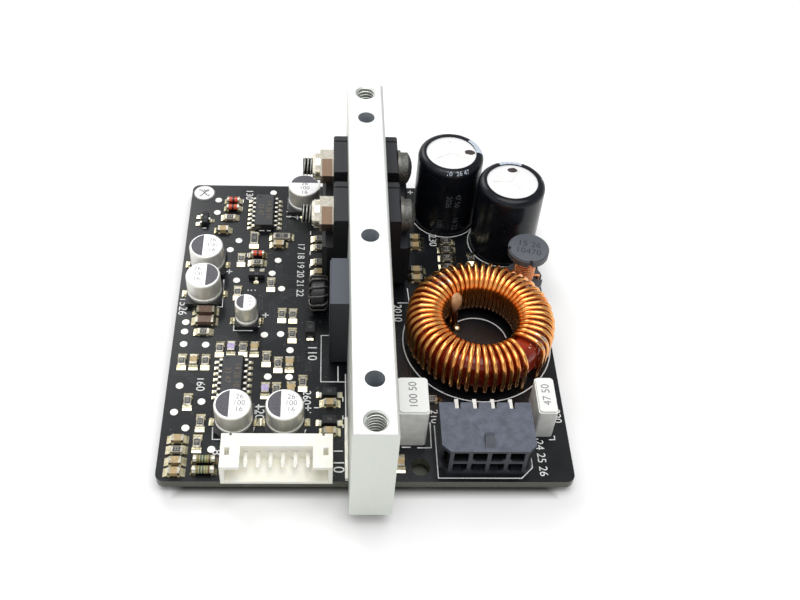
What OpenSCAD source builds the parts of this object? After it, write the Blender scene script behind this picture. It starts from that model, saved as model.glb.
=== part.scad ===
// Power supply module: a populated circuit board with an aluminium bar on edge down its middle.
// Two pairs of power transistors are clamped to the bar and the output choke stands beside it.
// X runs left to right, Y from the front edge to the rear, Z up from the tips of the cropped leads.

/* [Circuit board] */
// Width of the board, left to right
board_w = 68; // [66:0.5:80]
// Depth of the board, front to rear
board_d = 70; // [69:0.5:80]
// Thickness of the board
board_t = 1.6; // [1:0.1:2.4]
// Corner radius of the board
board_r = 1.5; // [0.5:0.1:3]
// Bore of the fixing hole near the front edge
fix_hole_d = 3.2; // [2.6:0.1:4.2]
// Length of the cropped leads below the board
lead_out = 1.5; // [1.2:0.1:3]
// Thickness of the tinned lands on the board
land_t = 0.1; // [0.05:0.01:0.2]
// Clearance on the radius round a lead in its drilled hole
drill_gap = 0.12; // [0.05:0.01:0.25]

/* [Heat bar] */
// Width of the bar
bar_w = 6.8; // [6:0.1:9]
// Height of the bar above the board
bar_h = 22.4; // [20:0.1:30]
// Overhang of the bar past the front edge of the board
bar_front = 6; // [5.5:0.1:12]
// Overhang of the bar past the rear edge of the board
bar_rear = 4.5; // [4:0.1:12]
// Offset of the bar from the middle of the board
bar_x = 0.4; // [-0.5:0.1:1]
// Radius of the long edges of the bar
bar_r = 0.5; // [0.2:0.1:1]
// Core diameter of the threaded holes at the two ends of the top face
tap_d = 3.3; // [2.5:0.1:4.2]
// Width of the countersink round a threaded hole
tap_sink = 0.3; // [0.1:0.05:0.6]
// Distance of a threaded hole from the end of the bar
tap_in = 2.3; // [2.2:0.1:2.8]
// Diameter of the plain holes in the top face
plain_d = 3.1; // [2:0.1:4]
// Distance of an outer plain hole from the end of the bar
plain_in = 9.8; // [8:0.1:12]
// Forward offset of the middle plain hole
plain_mid = 0.6; // [0:0.1:3]

/* [Power transistors] */
// Width of a transistor along the bar
tran_w = 10.2; // [9:0.1:11]
// Height of a transistor body
tran_h = 15.9; // [15:0.1:18]
// Thickness of the thick lower body
tran_t = 4.6; // [4:0.1:5.5]
// Thickness of the thin upper part
tran_tab_t = 2.6; // [2.2:0.1:3.2]
// Height of the shoulder between the two
tran_step = 9.2; // [8.5:0.1:10]
// Gap between the board and the bodies
tran_up = 2.1; // [1:0.1:4]
// Distance of the bolt hole from the top of a body
tran_hole_in = 3.2; // [3:0.1:4]
// Lead pitch
tran_pitch = 2.54; // [2:0.01:2.8]
// Distance of the front pair from the front edge of the board
tran_y = 46.6; // [45:0.1:48]
// Distance between the two pairs along the bar
tran_span = 12.8; // [12:0.1:16]

/* [Clamp bolts] */
// Thread diameter
bolt_d = 3; // [2.5:0.1:3.5]
// Clearance on the radius of the bolt in its holes
bolt_gap = 0.1; // [0.05:0.05:0.3]
// Diameter of the domed head
bolt_head_d = 5.8; // [5:0.1:7]
// Height of the domed head
bolt_head_h = 2.3; // [1.6:0.1:3]
// Length of thread past the nut
bolt_end = 1.8; // [0.5:0.1:4]
// Width of the nut across flats
nut_flats = 5.5; // [5:0.1:6.5]
// Height of the hexagon
nut_h = 2.5; // [2:0.1:3.5]
// Height of the locking collar
nut_collar_h = 1.4; // [0.8:0.1:2.2]
// Outer diameter of the washer under a head
washer_d = 6.6; // [6:0.1:7]
// Thickness of the washer
washer_t = 0.5; // [0.3:0.1:0.8]

/* [Power resistor] */
// Width of the resistor along the bar
res_w = 10.4; // [9:0.1:11]
// Thickness of the resistor
res_t = 3.2; // [2.6:0.1:4]
// Height of the resistor above the board
res_h = 16; // [14:0.1:18]
// Gap between the board and the resistor
res_up = 0.5; // [0.3:0.1:1.5]
// Distance of its middle from the front edge of the board
res_y = 29.2; // [28:0.1:31]

/* [Bulk capacitors] */
// Diameter over the sleeve
bulk_d = 12.5; // [10:0.1:12.6]
// Height of the can above the board
bulk_h = 16; // [12:0.5:25]
// Thickness of the shrink sleeve
sleeve_t = 0.25; // [0.15:0.05:0.5]
// Diameter of the bare top inside the sleeve
bulk_bare_d = 9.5; // [6:0.1:9.8]
// Lead pitch
bulk_pitch = 5; // [3.5:0.1:5.5]
// Lead diameter
bulk_lead_d = 0.8; // [0.5:0.05:1]

/* [Output choke] */
// Outer diameter of the ring core
core_od = 24; // [22:0.1:24.5]
// Inner diameter of the ring core
core_id = 14.3; // [14:0.1:16]
// Height of the ring core
core_h = 7; // [5:0.1:12]
// Corner radius of the ring core
core_r = 2; // [0.6:0.1:2.2]
// Diameter of the winding wire
wire_d = 0.75; // [0.5:0.05:0.78]
// Turns in each half of the winding
half_turns = 25; // [10:1:25]
// Angle that each half covers
half_span = 167; // [120:1:168]

/* [Drum choke] */
// Diameter of the flanges
drum_d = 7.5; // [6:0.1:7.6]
// Height of the drum core
drum_h = 10.4; // [8:0.1:14]
// Thickness of the top flange
drum_top_t = 1.4; // [0.8:0.1:2]
// Thickness of the lower flange
drum_low_t = 2.4; // [1.2:0.1:3]
// Diameter of the middle post
drum_post_d = 3; // [2:0.1:3.4]
// Diameter of the wire on the drum
drum_wire_d = 0.5; // [0.3:0.05:0.6]

/* [Film capacitors] */
// Length of both boxes, front to rear
film_l = 7.2; // [6.5:0.1:8]
// Width of the large box
film_big_w = 5; // [4:0.1:5.2]
// Height of the large box
film_big_h = 9.2; // [7:0.1:14]
// Width of the small box
film_small_w = 3.2; // [2.5:0.1:4]
// Height of the small box
film_small_h = 7; // [5:0.1:12]
// Lead pitch
film_pitch = 5; // [4:0.1:5.5]
// Lead diameter
film_lead_d = 0.6; // [0.4:0.05:0.8]

/* [Power header] */
// Pitch of the ways and of the two rows
pow_pitch = 3; // [2.8:0.05:3.1]
// Depth of the housing, front to rear
pow_l = 9.6; // [9:0.1:11]
// Height of the housing
pow_h = 6.5; // [6.4:0.1:8]
// Width of the window block
pow_block_w = 12.6; // [12.4:0.1:13.5]
// Width of the flanges
pow_w = 15.2; // [14.6:0.1:16]
// Width of one window
pow_window = 2.35; // [1.8:0.05:2.5]
// Side of the square pins
pow_pin = 0.64; // [0.5:0.02:0.8]
// Height of the lower row above the board
pow_row_z = 1.85; // [1.75:0.05:2]

/* [Signal header] */
// Number of ways
sig_ways = 8; // [4:1:8]
// Pitch of the ways
sig_pitch = 2; // [1.8:0.05:2]
// Depth of the housing, front to rear
sig_l = 6.4; // [5.8:0.1:8]
// Height of the housing
sig_h = 4.8; // [4.4:0.1:6]
// Wall thickness
sig_wall = 0.7; // [0.5:0.05:0.9]
// Side of the square pins
sig_pin = 0.6; // [0.4:0.02:0.62]

/* [Board capacitors] */
// Diameter of the large cans
can_d = 6.3; // [5:0.1:6.5]
// Diameter of the small can
can_small_d = 4; // [3:0.1:5]
// Height of the cans above the board
can_h = 5.4; // [4:0.1:8]
// Height of the moulded base
can_base_h = 0.9; // [0.6:0.1:1.4]

/* [Integrated circuits] */
// Leads on each side
ic_leads_side = 7; // [4:1:7]
// Lead pitch
ic_pitch = 1.27; // [1:0.01:1.27]
// Width of the body
ic_w = 3.9; // [3.4:0.1:4.2]
// Width over the leads
ic_span = 6; // [5.6:0.1:6.4]
// Height of the body
ic_h = 1.6; // [1.2:0.1:2]

/* [Chips] */
// Length of a chip
chip_l = 2; // [1.6:0.05:2.1]
// Width of a chip
chip_w = 1.25; // [0.8:0.05:1.3]
// Height of a chip resistor
chip_res_h = 0.5; // [0.3:0.05:0.7]
// Height of a chip capacitor
chip_cap_h = 0.9; // [0.5:0.05:1.2]
// Length of a metal end
chip_end = 0.4; // [0.2:0.05:0.5]
// Diameter of the round film resistors
melf_d = 1.4; // [1:0.05:1.6]
// Length of the round film resistors
melf_l = 3.5; // [3:0.1:3.7]
// Diameter of the glass diodes
glass_d = 1.25; // [1:0.05:1.6]
// Length of the glass diodes
glass_l = 2.4; // [2:0.1:2.6]
// Diameter of the test points
test_d = 1.3; // [0.8:0.1:1.4]

/* [Current ring] */
// Outer diameter of the small ring
ring_od = 5.8; // [5.2:0.1:6.2]
// Inner diameter of the small ring
ring_id = 2.6; // [2.5:0.1:3.2]
// Thickness of the small ring
ring_t = 2.6; // [1.8:0.1:2.7]
// Diameter of its wire
ring_wire_d = 0.5; // [0.3:0.05:0.5]

/* [Sticker] */
// Diameter of the inspection sticker
dot_d = 4.4; // [3:0.1:4.6]
// Thickness of the inspection sticker
dot_t = 0.12; // [0.05:0.01:0.3]

/* [Hidden] */
$fn = 64;

// Overlap that lets a cut pass its faces
eps = 0.01;
// Play between faces that bed on each other loosely
play = 0.02;
top_z = lead_out + board_t;
pin_drop = board_t + lead_out;
bar_l = board_d + bar_front + bar_rear;
front_y = bar_front - bar_l / 2;
bar_left = board_w / 2 + bar_x - bar_w / 2;
bar_right = bar_left + bar_w;
bolt_z = tran_up + tran_h - tran_hole_in;
tran_rows = [tran_y, tran_y + tran_span];
nut_total = nut_h + nut_collar_h;
bolt_hole_d = bolt_d + 2 * bolt_gap;
bolt_grip = bar_w + 2 * tran_tab_t;

// Places are given from the left and front edges of the board, or from the bar or the right edge
right = board_w;
// The places are drawn for a left hand field this wide and a board this deep, and spread with them
plan_w = 31;
plan_d = 70;
function wide(x) = x * bar_left / plan_w;
function deep(y) = y * board_d / plan_d;
function spot(p) = [p.x, deep(p.y), p.z, p[3]];
function field(p) = [wide(p.x), deep(p.y), p.z];

// Right hand front row: the spare width beside the parts is shared out as gaps
front_spare = right - bar_right - film_big_w - pow_w - film_small_w;
film_big_at = [bar_right + 0.16 * front_spare + film_big_w / 2, deep(10.6)];
pow_at = [bar_right + film_big_w + 0.44 * front_spare + pow_w / 2, 1.5];
film_small_at = [right - 0.4 * front_spare - film_small_w / 2, deep(12.4)];
fix_at = [bar_right + 5, 2.8];

// Left hand front row: a column of chips, two round parts and the signal header
sig_w = (sig_ways - 1) * sig_pitch + 3.9;
pad_past = 0.8;
chip_reach = chip_l / 2 + pad_past;
film_reach = melf_l / 2 + 0.4;
row_spare = bar_left - 0.5 - sig_w - 2 * chip_reach - 2 * film_reach;
column_x = 0.259 * row_spare + chip_reach;
films_x = 0.414 * row_spare + 2 * chip_reach + film_reach;
sig_at = [0.563 * row_spare + 2 * chip_reach + 2 * film_reach + sig_w / 2, -0.4];

// The ring choke stands at the right edge, then the drum and the bulk capacitors follow behind it
choke_at = [right - 13.6, deep(29.2)];
choke_out_r = core_od / 2 + wrap(core_r, wire_d) - core_r;
drum_at = choke_at + polar(choke_out_r + wire_d / 2 + drum_d / 2 + 0.155, 54.9);
bulk_foot = 0.3;
bulk_far = bar_right + tran_tab_t + washer_t + bolt_head_h + 1.35 + bulk_d / 2;
bulk_near = drum_at + polar((drum_d + bulk_d) / 2 + 1.77, 102.3);
bulk_gap = bulk_d + 0.88;
bulk_side = min(0.807 * bulk_gap, bulk_near.x - bulk_far);
bulk_step = sqrt(pow(bulk_gap, 2) - pow(bulk_side, 2));
bulk_at = [[bulk_near.x - bulk_side, bulk_near.y + bulk_step, 0], [bulk_near.x, bulk_near.y, 90]];

dot_at = [2.4, board_d - 2.4];
ring_at = [bar_left - 5.2, tran_y - 8.5];

// Left hand rear row: two test points, the glass diodes, a circuit and a board capacitor
can_edge = can_d / 2 + 0.15;
rear_can_x = bar_left - 8.2;
rear_test_x = wide(5.45);
glass_past = 0.6;
glass_reach = glass_l / 2 + glass_past;
ic_reach = ic_span / 2 + 0.35;
rear_start = rear_test_x + test_d / 2;
rear_spare = rear_can_x - can_edge - rear_start - 2 * glass_reach - 2 * ic_reach;
glass_x = rear_start + 0.2 * rear_spare + glass_reach;
rear_ic_x = rear_can_x - can_edge - 0.375 * rear_spare - ic_reach;

// Board capacitors: x, y, turn, diameter
can_pitch = can_d + 2.2;
pair_x = bar_left - 10.5;
cans = [
    for (c = [
        [4.8, 47.5, 0, can_d], [4.8, 40.1, 180, can_d], [12.9, 33.6, 0, can_small_d],
        [pair_x - can_pitch, 11.4, 0, can_d], [pair_x, 11.4, 0, can_d], [rear_can_x, 64.6, -90, can_d]
    ]) spot(c)
];
ics = [for (c = [[rear_ic_x, 61.4], [wide(11.2), 20.2]]) spot(c)];

// Chips: x, y, turn (0 lies along X, 90 along Y)
bar_chip_x = bar_left - 5;
bulk_chip_x = max(bulk_near.x - 11, bar_right + 7 + 2 * chip_reach);
edge_x = pair_x - can_pitch - 5.6;
pair_chip_x = bar_left - 3;
resistors = [
    for (c = [
        [glass_x - 0.4, 60.3, 0], [14.1, 48, 0], [5.3, 30.8, 0], [column_x, 5.75, 0], [11, 48.9, 90],
        [16.9, 42.6, 90], [10.8, 40.4, 90], [edge_x, 11.2, 90], [column_x + 3.2, wide(8.2) - 1.1, 90],
        [bar_right + 7.6, 16.2, 0]
    ]) spot(c),
    for (c = [
        [19.2, 35, 90], [21.2, 34.9, 90], [21.2, 30.3, 90], [8.5, 27, 90], [12.6, 27.1, 90],
        [2.1, 24.1, 90], [6.2, 24.1, 90], [16.8, 24.9, 90], [18.9, 23.6, 90], [3.9, 15.5, 90],
        [18.8, 18, 90], [23.3, 19.6, 90]
    ]) field(c),
    for (y = [8, 5.7, 1.8]) [bar_chip_x, tran_y + deep(y), 0],
    for (y = [0.2, 2.4, 4.7, 7.1]) [bulk_chip_x, bulk_near.y - y, 0],
    [bulk_near.x - bulk_d / 2 - 0.15, bulk_near.y - 4.7, 90]
];
long_resistors = [[wide(13.2), ics[0].y - 7, 90], field([18.5, 55.1, 0])];
tan_caps = [
    for (c = [
        [7, 56.7, 0], [column_x, 7.75, 0], [column_x, 3.5, 0], [column_x, 1.5, 0],
        [pair_chip_x, 15.2, 0], [pair_chip_x, 9.4, 0], [bar_right + 1.7, 3.4, 90]
    ]) spot(c),
    for (c = [
        [18, 52.9, 0], [14.6, 27.1, 90], [4.15, 24.1, 90], [20.9, 23.7, 90], [21.3, 18.2, 90]
    ]) field(c),
    [bar_chip_x, tran_y - 1.1, 0],
    for (y = [8.4, 6.2]) [bar_right + 6.8, tran_y + deep(y), 0],
    for (y = [-0.2, -2.4]) [bar_right + 6.6, tran_y + y, 0]
];
brown_caps = [for (y = [4.4, 6.8]) [5.3, cans[1].y - y, 0]];
violet_caps = [for (c = [[10.5, 27.1, 90], [16.9, 18, 90]]) field(c)];
long_l = 1.6 * chip_l;
long_w = 1.2 * chip_w;
glass = [for (c = [[glass_x, 65], [glass_x, 62.9], [14.1, 50.1]]) spot(c)];
films = [for (y = [3.7, 1.7]) spot([films_x, y])];
tiny = [for (c = [[wide(3.3), 59.5, 0], [14.1, 44.5, -90]]) spot(c)];
diodes = [
    for (y = [17.1, 11.3]) spot([bar_left - 3.1, y, 0]),
    [bar_left - 6.6, ring_at.y - 6.7, 90]
];
tests = [
    for (c = [
        [rear_test_x, 65.5], [rear_test_x, 61.9], [8.7, 51.6], [18, 48.9], [17, 45.5], [10.4, 43.6],
        [18.9, 41.6], [edge_x - 2.4, 10.2], [column_x + 5.6, 6], [1.9, 33.2], [1.9, 31]
    ]) spot(c),
    for (c = [
        [16.4, 67.9], [10.2, 54.1], [16.2, 30.4], [19.1, 30.6], [2, 28.1], [5.9, 28], [20.9, 26.9],
        [17.2, 21], [20.9, 20.95], [2.2, 18.9], [6.2, 15.6], [1.8, 13.4]
    ]) field(c)
];

// Leads of the through-hole parts as [x, y, lead diameter]
tran_lead_x = 2.6;
tran_lead = [0.7, 0.5];
tran_feet = [
    for (y = tran_rows) for (s = [-1, 1]) for (k = [-1:1])
        [(s < 0 ? bar_left : bar_right) + s * tran_lead_x, y + k * tran_pitch, norm(tran_lead)]
];
res_pitch = 5.08;
res_feet = [for (k = [-1, 1]) [bar_left - res_t / 2, res_y + k * res_pitch / 2, norm(tran_lead)]];
bulk_feet = [
    for (b = bulk_at) for (k = [-1, 1])
        [b.x + k * cos(b.z) * bulk_pitch / 2, b.y + k * sin(b.z) * bulk_pitch / 2, bulk_lead_d]
];
film_feet = [
    for (f = [film_big_at, film_small_at]) for (k = [-1, 1]) [f.x, f.y + k * film_pitch / 2, film_lead_d]
];
drum_lead_r = drum_d / 2 - drum_wire_d - 0.35;
drum_feet = [for (k = [-1, 1]) [drum_at.x + k * drum_lead_r, drum_at.y, drum_wire_d]];
pow_cols = [for (k = [-1.5:1:1.5]) k * pow_pitch];
pow_back = [pow_l + 1.3, pow_l + 1.3 - pow_pitch];
pow_feet = [
    for (k = pow_cols) for (b = pow_back) [pow_at.x + k, pow_at.y + b, pow_pin * sqrt(2)]
];
sig_foot = sig_l - 1.1;
sig_cols = [for (k = [0:sig_ways - 1]) (k - (sig_ways - 1) / 2) * sig_pitch];
sig_feet = [for (k = sig_cols) [sig_at.x + k, sig_at.y + sig_foot, sig_pin * sqrt(2)]];

// The winding wraps the ring core at this radius round its rounded corners
function wrap(r, d) = (r + d / 2 + play) / cos(22.5);
core_up = wrap(core_r, wire_d) - core_r + wire_d / 2 + 0.05;
choke_in_r = 6.1;
choke_in = [126, 139];
choke_dir = [-1, 1];
function choke_end(i) = choke_in[i] + choke_dir[i] * half_span * (half_turns - 0.5) / half_turns;
function polar(r, a) = [r * cos(a), r * sin(a)];
choke_feet = [
    for (i = [0, 1]) for (q = [polar(choke_in_r, choke_in[i]), polar(choke_out_r, choke_end(i))])
        [choke_at.x + q.x, choke_at.y + q.y, wire_d]
];
ring_up = ring_od / 2 + play;
ring_r = 0.4;
ring_turns = 9;
ring_start = 35;
ring_span = 290;
ring_side = wrap(ring_r, ring_wire_d) - ring_r;
ring_ends = [for (a = [ring_start, ring_start + ring_span]) (ring_od / 2 - ring_r) * sin(a)];
ring_feet = [
    for (y = ring_ends) [ring_at.x + ring_t / 2 + ring_side, ring_at.y + y, ring_wire_d]
];
feet = concat(
    tran_feet, res_feet, bulk_feet, film_feet, drum_feet, pow_feet, sig_feet, choke_feet, ring_feet
);

// Puts a part on the board at a place given from the left and front edges
module at(p, z = 0, turn = 0) {
    translate([p.x - board_w / 2, p.y + front_y, top_z + z]) rotate([0, 0, turn]) children();
}

// Flat outline with rounded corners, centred
module round_rect(w, h, r) {
    square([w - 2 * r, h], center = true);
    square([w, h - 2 * r], center = true);
    for (x = [-1, 1]) for (y = [-1, 1]) translate([x * (w / 2 - r), y * (h / 2 - r)]) circle(r);
}

// Half section of a round can whose top edge has radius r
module can_section(rad, h, r) {
    square([rad, h - r]);
    square([rad - r, h]);
    translate([rad - r, h - r]) circle(r);
}

// Extrudes an outline drawn in X and Z along Y, centred
module along_y(l) {
    rotate([90, 0, 0]) linear_extrude(l, center = true) children();
}

function unit(v) = v / norm(v);

// One ring of points round a path point; ref gives its side direction
function ring_points(p, t, ref, r, n) = let (b = unit(ref - (ref * t) * t), c = cross(t, b))
    [for (k = [0:n - 1]) p + r * (cos(360 * k / n) * b + sin(360 * k / n) * c)];

function tangent(path, i) = unit(path[min(i + 1, len(path) - 1)] - path[max(i - 1, 0)]);

// Wire of diameter d swept along a path with n sides
module wire(path, refs, d, n = 6) {
    last = len(path) - 1;
    points = [for (i = [0:last]) each ring_points(path[i], tangent(path, i), refs[i], d / 2, n)];
    sides = [
        for (i = [0:last - 1]) for (k = [0:n - 1])
            let (a = i * n + k, b = i * n + (k + 1) % n) each [[a, a + n, b + n], [a, b + n, b]]
    ];
    start = [for (k = [0:n - 1]) k];
    stop = [for (k = [n - 1:-1:0]) last * n + k];
    polyhedron(points, concat([start], sides, [stop]));
}

// Twelve points of one turn round a rounded section, as [radius, height], from the inside up
function turn_points(ri, ro, h, r, w) = [
    for (c = [[ri + r, h - r, 180], [ro - r, h - r, 90], [ro - r, r, 0], [ri + r, r, -90]])
        for (i = [0:2]) [c.x + w * cos(c.z - 45 * i), c.y + w * sin(c.z - 45 * i)]
];

// Angle of point i of turn n of a winding
function turn_angle(start, step, n, i) = start + step * (n + i / 12);

// Turns of a winding as [x, y, z, angle]; the last turn stops at its point stop
function turns(ring, start, step, count, stop) = [
    for (n = [0:count - 1]) for (i = [0:(n == count - 1 ? stop : 11)])
        let (a = turn_angle(start, step, n, i))
            [ring[i].x * cos(a), ring[i].x * sin(a), ring[i].y, a]
];

function place(q) = [q.x, q.y, q.z];
function side_way(q) = [-sin(q[3]), cos(q[3]), 0];

// Flat lead from height z0 under a body down through the board, wide above the board
module flat_lead(z0) {
    translate([0, 0, 0.5 + (z0 - 0.5) / 2]) cube([tran_lead.y, 1.2, z0 - 0.5], center = true);
    translate([0, 0, (0.5 + eps - pin_drop) / 2])
        cube([tran_lead.y, tran_lead.x, 0.5 + eps + pin_drop], center = true);
}

module round_lead(z0, d) {
    translate([0, 0, -pin_drop]) cylinder(h = z0 + pin_drop, d = d);
}

module circuit_board() {
    color("#2c2d30") difference() {
        at([board_w / 2, board_d / 2], -board_t)
            linear_extrude(board_t) round_rect(board_w, board_d, board_r);
        at(fix_at, -board_t - 1) cylinder(h = board_t + 2, d = fix_hole_d);
        for (f = feet) at(f, -board_t - 1) cylinder(h = board_t + 2, d = f.z + 2 * drill_gap, $fn = 24);
    }
}

module heat_bar() {
    color("#e2e4e0") difference() {
        translate([bar_x, 0, top_z + bar_h / 2]) along_y(bar_l) round_rect(bar_w, bar_h, bar_r);
        for (s = [-1, 1]) {
            translate([bar_x, s * (bar_l / 2 - tap_in), top_z + bar_h]) {
                translate([0, 0, -bar_h - 1]) cylinder(h = bar_h + 2, d = tap_d);
                translate([0, 0, -tap_sink])
                    cylinder(h = tap_sink + eps, d1 = tap_d, d2 = tap_d + 2 * tap_sink + 2 * eps);
            }
        }
        for (y = [plain_in - bar_l / 2, -plain_mid, bar_l / 2 - plain_in])
            translate([bar_x, y, top_z - 1]) cylinder(h = bar_h + 2, d = plain_d);
        for (y = tran_rows)
            at([bar_left - 1, y], bolt_z) rotate([0, 90, 0]) cylinder(h = bar_w + 2, d = bolt_hole_d);
    }
}

// Tinned strip along the left foot of the bar
strip_w = 0.5;
strip_l = 12;
module earth_strip() {
    color("#c9cbc4") at([bar_left - strip_w - play, 0.5]) cube([strip_w, strip_l, land_t]);
}

// Body with its flat back at x = 0, standing on z = 0
module transistor() {
    bevel = 0.3;
    difference() {
        along_y(tran_w) polygon([
            [0, 0], [tran_t - bevel, 0], [tran_t, bevel], [tran_t, tran_step - 2 * bevel],
            [tran_t - 2 * bevel, tran_step], [tran_tab_t, tran_step], [tran_tab_t, tran_h - bevel],
            [tran_tab_t - bevel, tran_h], [0, tran_h]
        ]);
        translate([-1, 0, tran_h - tran_hole_in])
            rotate([0, 90, 0]) cylinder(h = tran_t + 2, d = bolt_hole_d);
        // Shallow step across the top
        translate([-1, tran_w / 2 - 1.6, tran_h - 0.25]) cube([tran_t + 2, 0.3, 1]);
        // Slanted ends of the thick part
        for (s = [-1, 1])
            translate([tran_t, s * tran_w / 2, tran_step / 2])
                rotate([0, 0, 45]) cube([1.2, 1.2, tran_step + 2], center = true);
    }
}

module power_transistors() {
    color("#3a3c40") for (y = tran_rows) {
        at([bar_right, y], tran_up) transistor();
        at([bar_left, y], tran_up) mirror([1, 0, 0]) transistor();
    }
}

module transistor_leads() {
    color("#c4c6c8") for (f = tran_feet) at(f) flat_lead(tran_up);
}

// Domed screw head on z = 0 with a cross recess
module pan_head() {
    dome = 5;
    difference() {
        rotate_extrude() intersection() {
            square([bolt_head_d / 2, bolt_head_h]);
            translate([0, bolt_head_h - dome]) circle(dome);
        }
        for (a = [0, 90]) rotate([0, 0, a]) translate([0, 0, bolt_head_h])
            cube([bolt_head_d * 0.6, 0.8, 2.2], center = true);
    }
}

module clamp_bolts() {
    color("#77787a") for (y = tran_rows)
        at([bar_right + tran_tab_t + washer_t, y], bolt_z) rotate([0, 90, 0]) {
            pan_head();
            reach = bolt_grip + washer_t + nut_total + bolt_end;
            translate([0, 0, -reach]) cylinder(h = reach + eps, d = bolt_d);
        }
}

// Angle at which the tightened nuts came to rest
nut_turn = -22;
module clamp_nuts() {
    corner_d = nut_flats / cos(30);
    color("#d8d3c6") for (y = tran_rows)
        at([bar_left - tran_tab_t, y], bolt_z) rotate([0, -90, 0]) difference() {
            union() {
                intersection() {
                    rotate([0, 0, nut_turn]) cylinder(h = nut_h, d = corner_d, $fn = 6);
                    cylinder(h = nut_h + 2, d1 = corner_d + 5, d2 = corner_d - 1.4);
                }
                cylinder(h = nut_total - 0.5, d = nut_flats - 0.4);
                translate([0, 0, nut_total - 0.5])
                    cylinder(h = 0.5, d1 = nut_flats - 0.4, d2 = nut_flats - 1.2);
            }
            translate([0, 0, -1]) cylinder(h = nut_total + 2, d = bolt_d + play);
        }
}

module clamp_washers() {
    color("#b9b9b4") for (y = tran_rows)
        at([bar_right + tran_tab_t, y], bolt_z) rotate([0, 90, 0]) difference() {
            cylinder(h = washer_t, d = washer_d);
            translate([0, 0, -1]) cylinder(h = washer_t + 2, d = bolt_hole_d);
        }
}

module power_resistor() {
    edge = 0.25;
    color("#44464c") at([bar_left - res_t / 2, res_y], res_up + (res_h - res_up) / 2)
        rotate([0, -90, 0]) translate([0, 0, -res_t / 2]) {
            linear_extrude(res_t - edge) square([res_h - res_up, res_w], center = true);
            translate([0, 0, res_t - edge]) linear_extrude(edge)
                square([res_h - res_up - 2 * edge, res_w - 2 * edge], center = true);
        }
}

module resistor_leads() {
    color("#c4c6c8") for (f = res_feet) at(f)
        translate([0, 0, (res_up - pin_drop) / 2])
            cube([tran_lead.y, tran_lead.x, res_up + pin_drop], center = true);
}

module bulk_cans() {
    rad = bulk_d / 2 - sleeve_t;
    groove = 0.15;
    color("#d5d7d8") for (b = bulk_at) at(b, bulk_foot, b.z) difference() {
        rotate_extrude() intersection() {
            can_section(rad, bulk_h - bulk_foot, 1);
            square([rad, bulk_h]);
        }
        for (a = [90, 210, 330]) rotate([0, 0, a]) translate([0, 0, bulk_h - bulk_foot - groove])
            translate([0, -0.2, 0]) cube([bulk_bare_d * 0.36, 0.4, 1]);
    }
}

module bulk_sleeves() {
    rad = bulk_d / 2;
    tall = bulk_h - bulk_foot;
    color("#17181a") for (b = bulk_at) at(b, bulk_foot, b.z) rotate_extrude() difference() {
        intersection() {
            can_section(rad, tall + sleeve_t, 1 + sleeve_t);
            square([rad, bulk_h + 1]);
        }
        can_section(rad - sleeve_t, tall, 1);
        square([bulk_bare_d / 2, bulk_h + 1]);
    }
}

module bulk_leads() {
    color("#c4c6c8") for (f = bulk_feet) at(f) round_lead(bulk_foot, bulk_lead_d);
}

module choke_core() {
    wide = (core_od - core_id) / 2;
    color("#7a1d12") at(choke_at, core_up + core_h / 2) rotate_extrude()
        translate([core_id / 2 + wide / 2, 0]) round_rect(wide, core_h, core_r);
}

// One half of the winding, from its foot inside the ring to its foot outside
module choke_half(start, dir) {
    turn = turn_points(core_id / 2, core_od / 2, core_h, core_r, wrap(core_r, wire_d));
    step = dir * half_span / half_turns;
    foot = -core_up - pin_drop;
    rise = [[choke_in_r, foot], [choke_in_r, 1.4], [turn[0].x, 3]];
    lead = [for (q = rise) concat(polar(q.x, start), [q.y, start])];
    wound = turns(turn, start, step, half_turns, 6);
    end = wound[len(wound) - 1];
    tail = [[end.x, end.y, foot, end[3]]];
    line = concat(lead, wound, tail);
    wire([for (q = line) place(q)], [for (q = line) side_way(q)], wire_d);
}

module choke_winding() {
    color("#c8741f") at(choke_at, core_up) for (i = [0, 1]) choke_half(choke_in[i], choke_dir[i]);
}

drum_gap_h = drum_h - drum_top_t - drum_low_t;
module drum_core() {
    color("#54575d") at(drum_at) difference() {
        union() {
            rotate_extrude() {
                square([drum_post_d / 2, drum_h]);
                square([drum_d / 2, drum_low_t]);
                translate([0, drum_h - drum_top_t]) square([drum_d / 2 - 0.2, drum_top_t]);
                translate([0, drum_h - drum_top_t]) square([drum_d / 2, drum_top_t - 0.2]);
            }
        }
        // Wire notches in the rims
        for (a = [0, 180]) rotate([0, 0, a]) translate([drum_d / 2, 0, drum_low_t / 2])
            cube([2 * (drum_d / 2 - drum_lead_r) + drum_wire_d + 0.2, 1, drum_low_t + 1], center = true);
        for (a = [180, 270]) rotate([0, 0, a]) translate([drum_d / 2, 0, drum_h])
            cube([0.9, 0.7, 2 * drum_top_t + 1], center = true);
    }
}

module drum_winding() {
    rows = floor(drum_gap_h / drum_wire_d);
    pitch = drum_gap_h / rows;
    color("#b8683a") at(drum_at, drum_low_t) rotate_extrude() difference() {
        union() {
            square([drum_post_d / 2 + 0.75 * drum_wire_d, drum_gap_h]);
            for (i = [0:rows - 1]) translate([drum_post_d / 2 + 0.5 * drum_wire_d, (i + 0.5) * pitch])
                circle(drum_wire_d / 2, $fn = 24);
        }
        square([drum_post_d / 2, drum_gap_h + 1]);
    }
}

module drum_leads() {
    color("#b8683a") for (f = drum_feet) at(f) round_lead(drum_low_t + 0.6, drum_wire_d);
    color("#b8683a") at(drum_at, drum_low_t + 0.6) for (a = [0, 180]) rotate([0, 0, a])
        translate([drum_post_d / 2 + 1.05 * drum_wire_d, 0, 0]) rotate([0, 90, 0])
            cylinder(h = drum_lead_r - drum_post_d / 2 - 0.55 * drum_wire_d, d = drum_wire_d);
}

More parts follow.
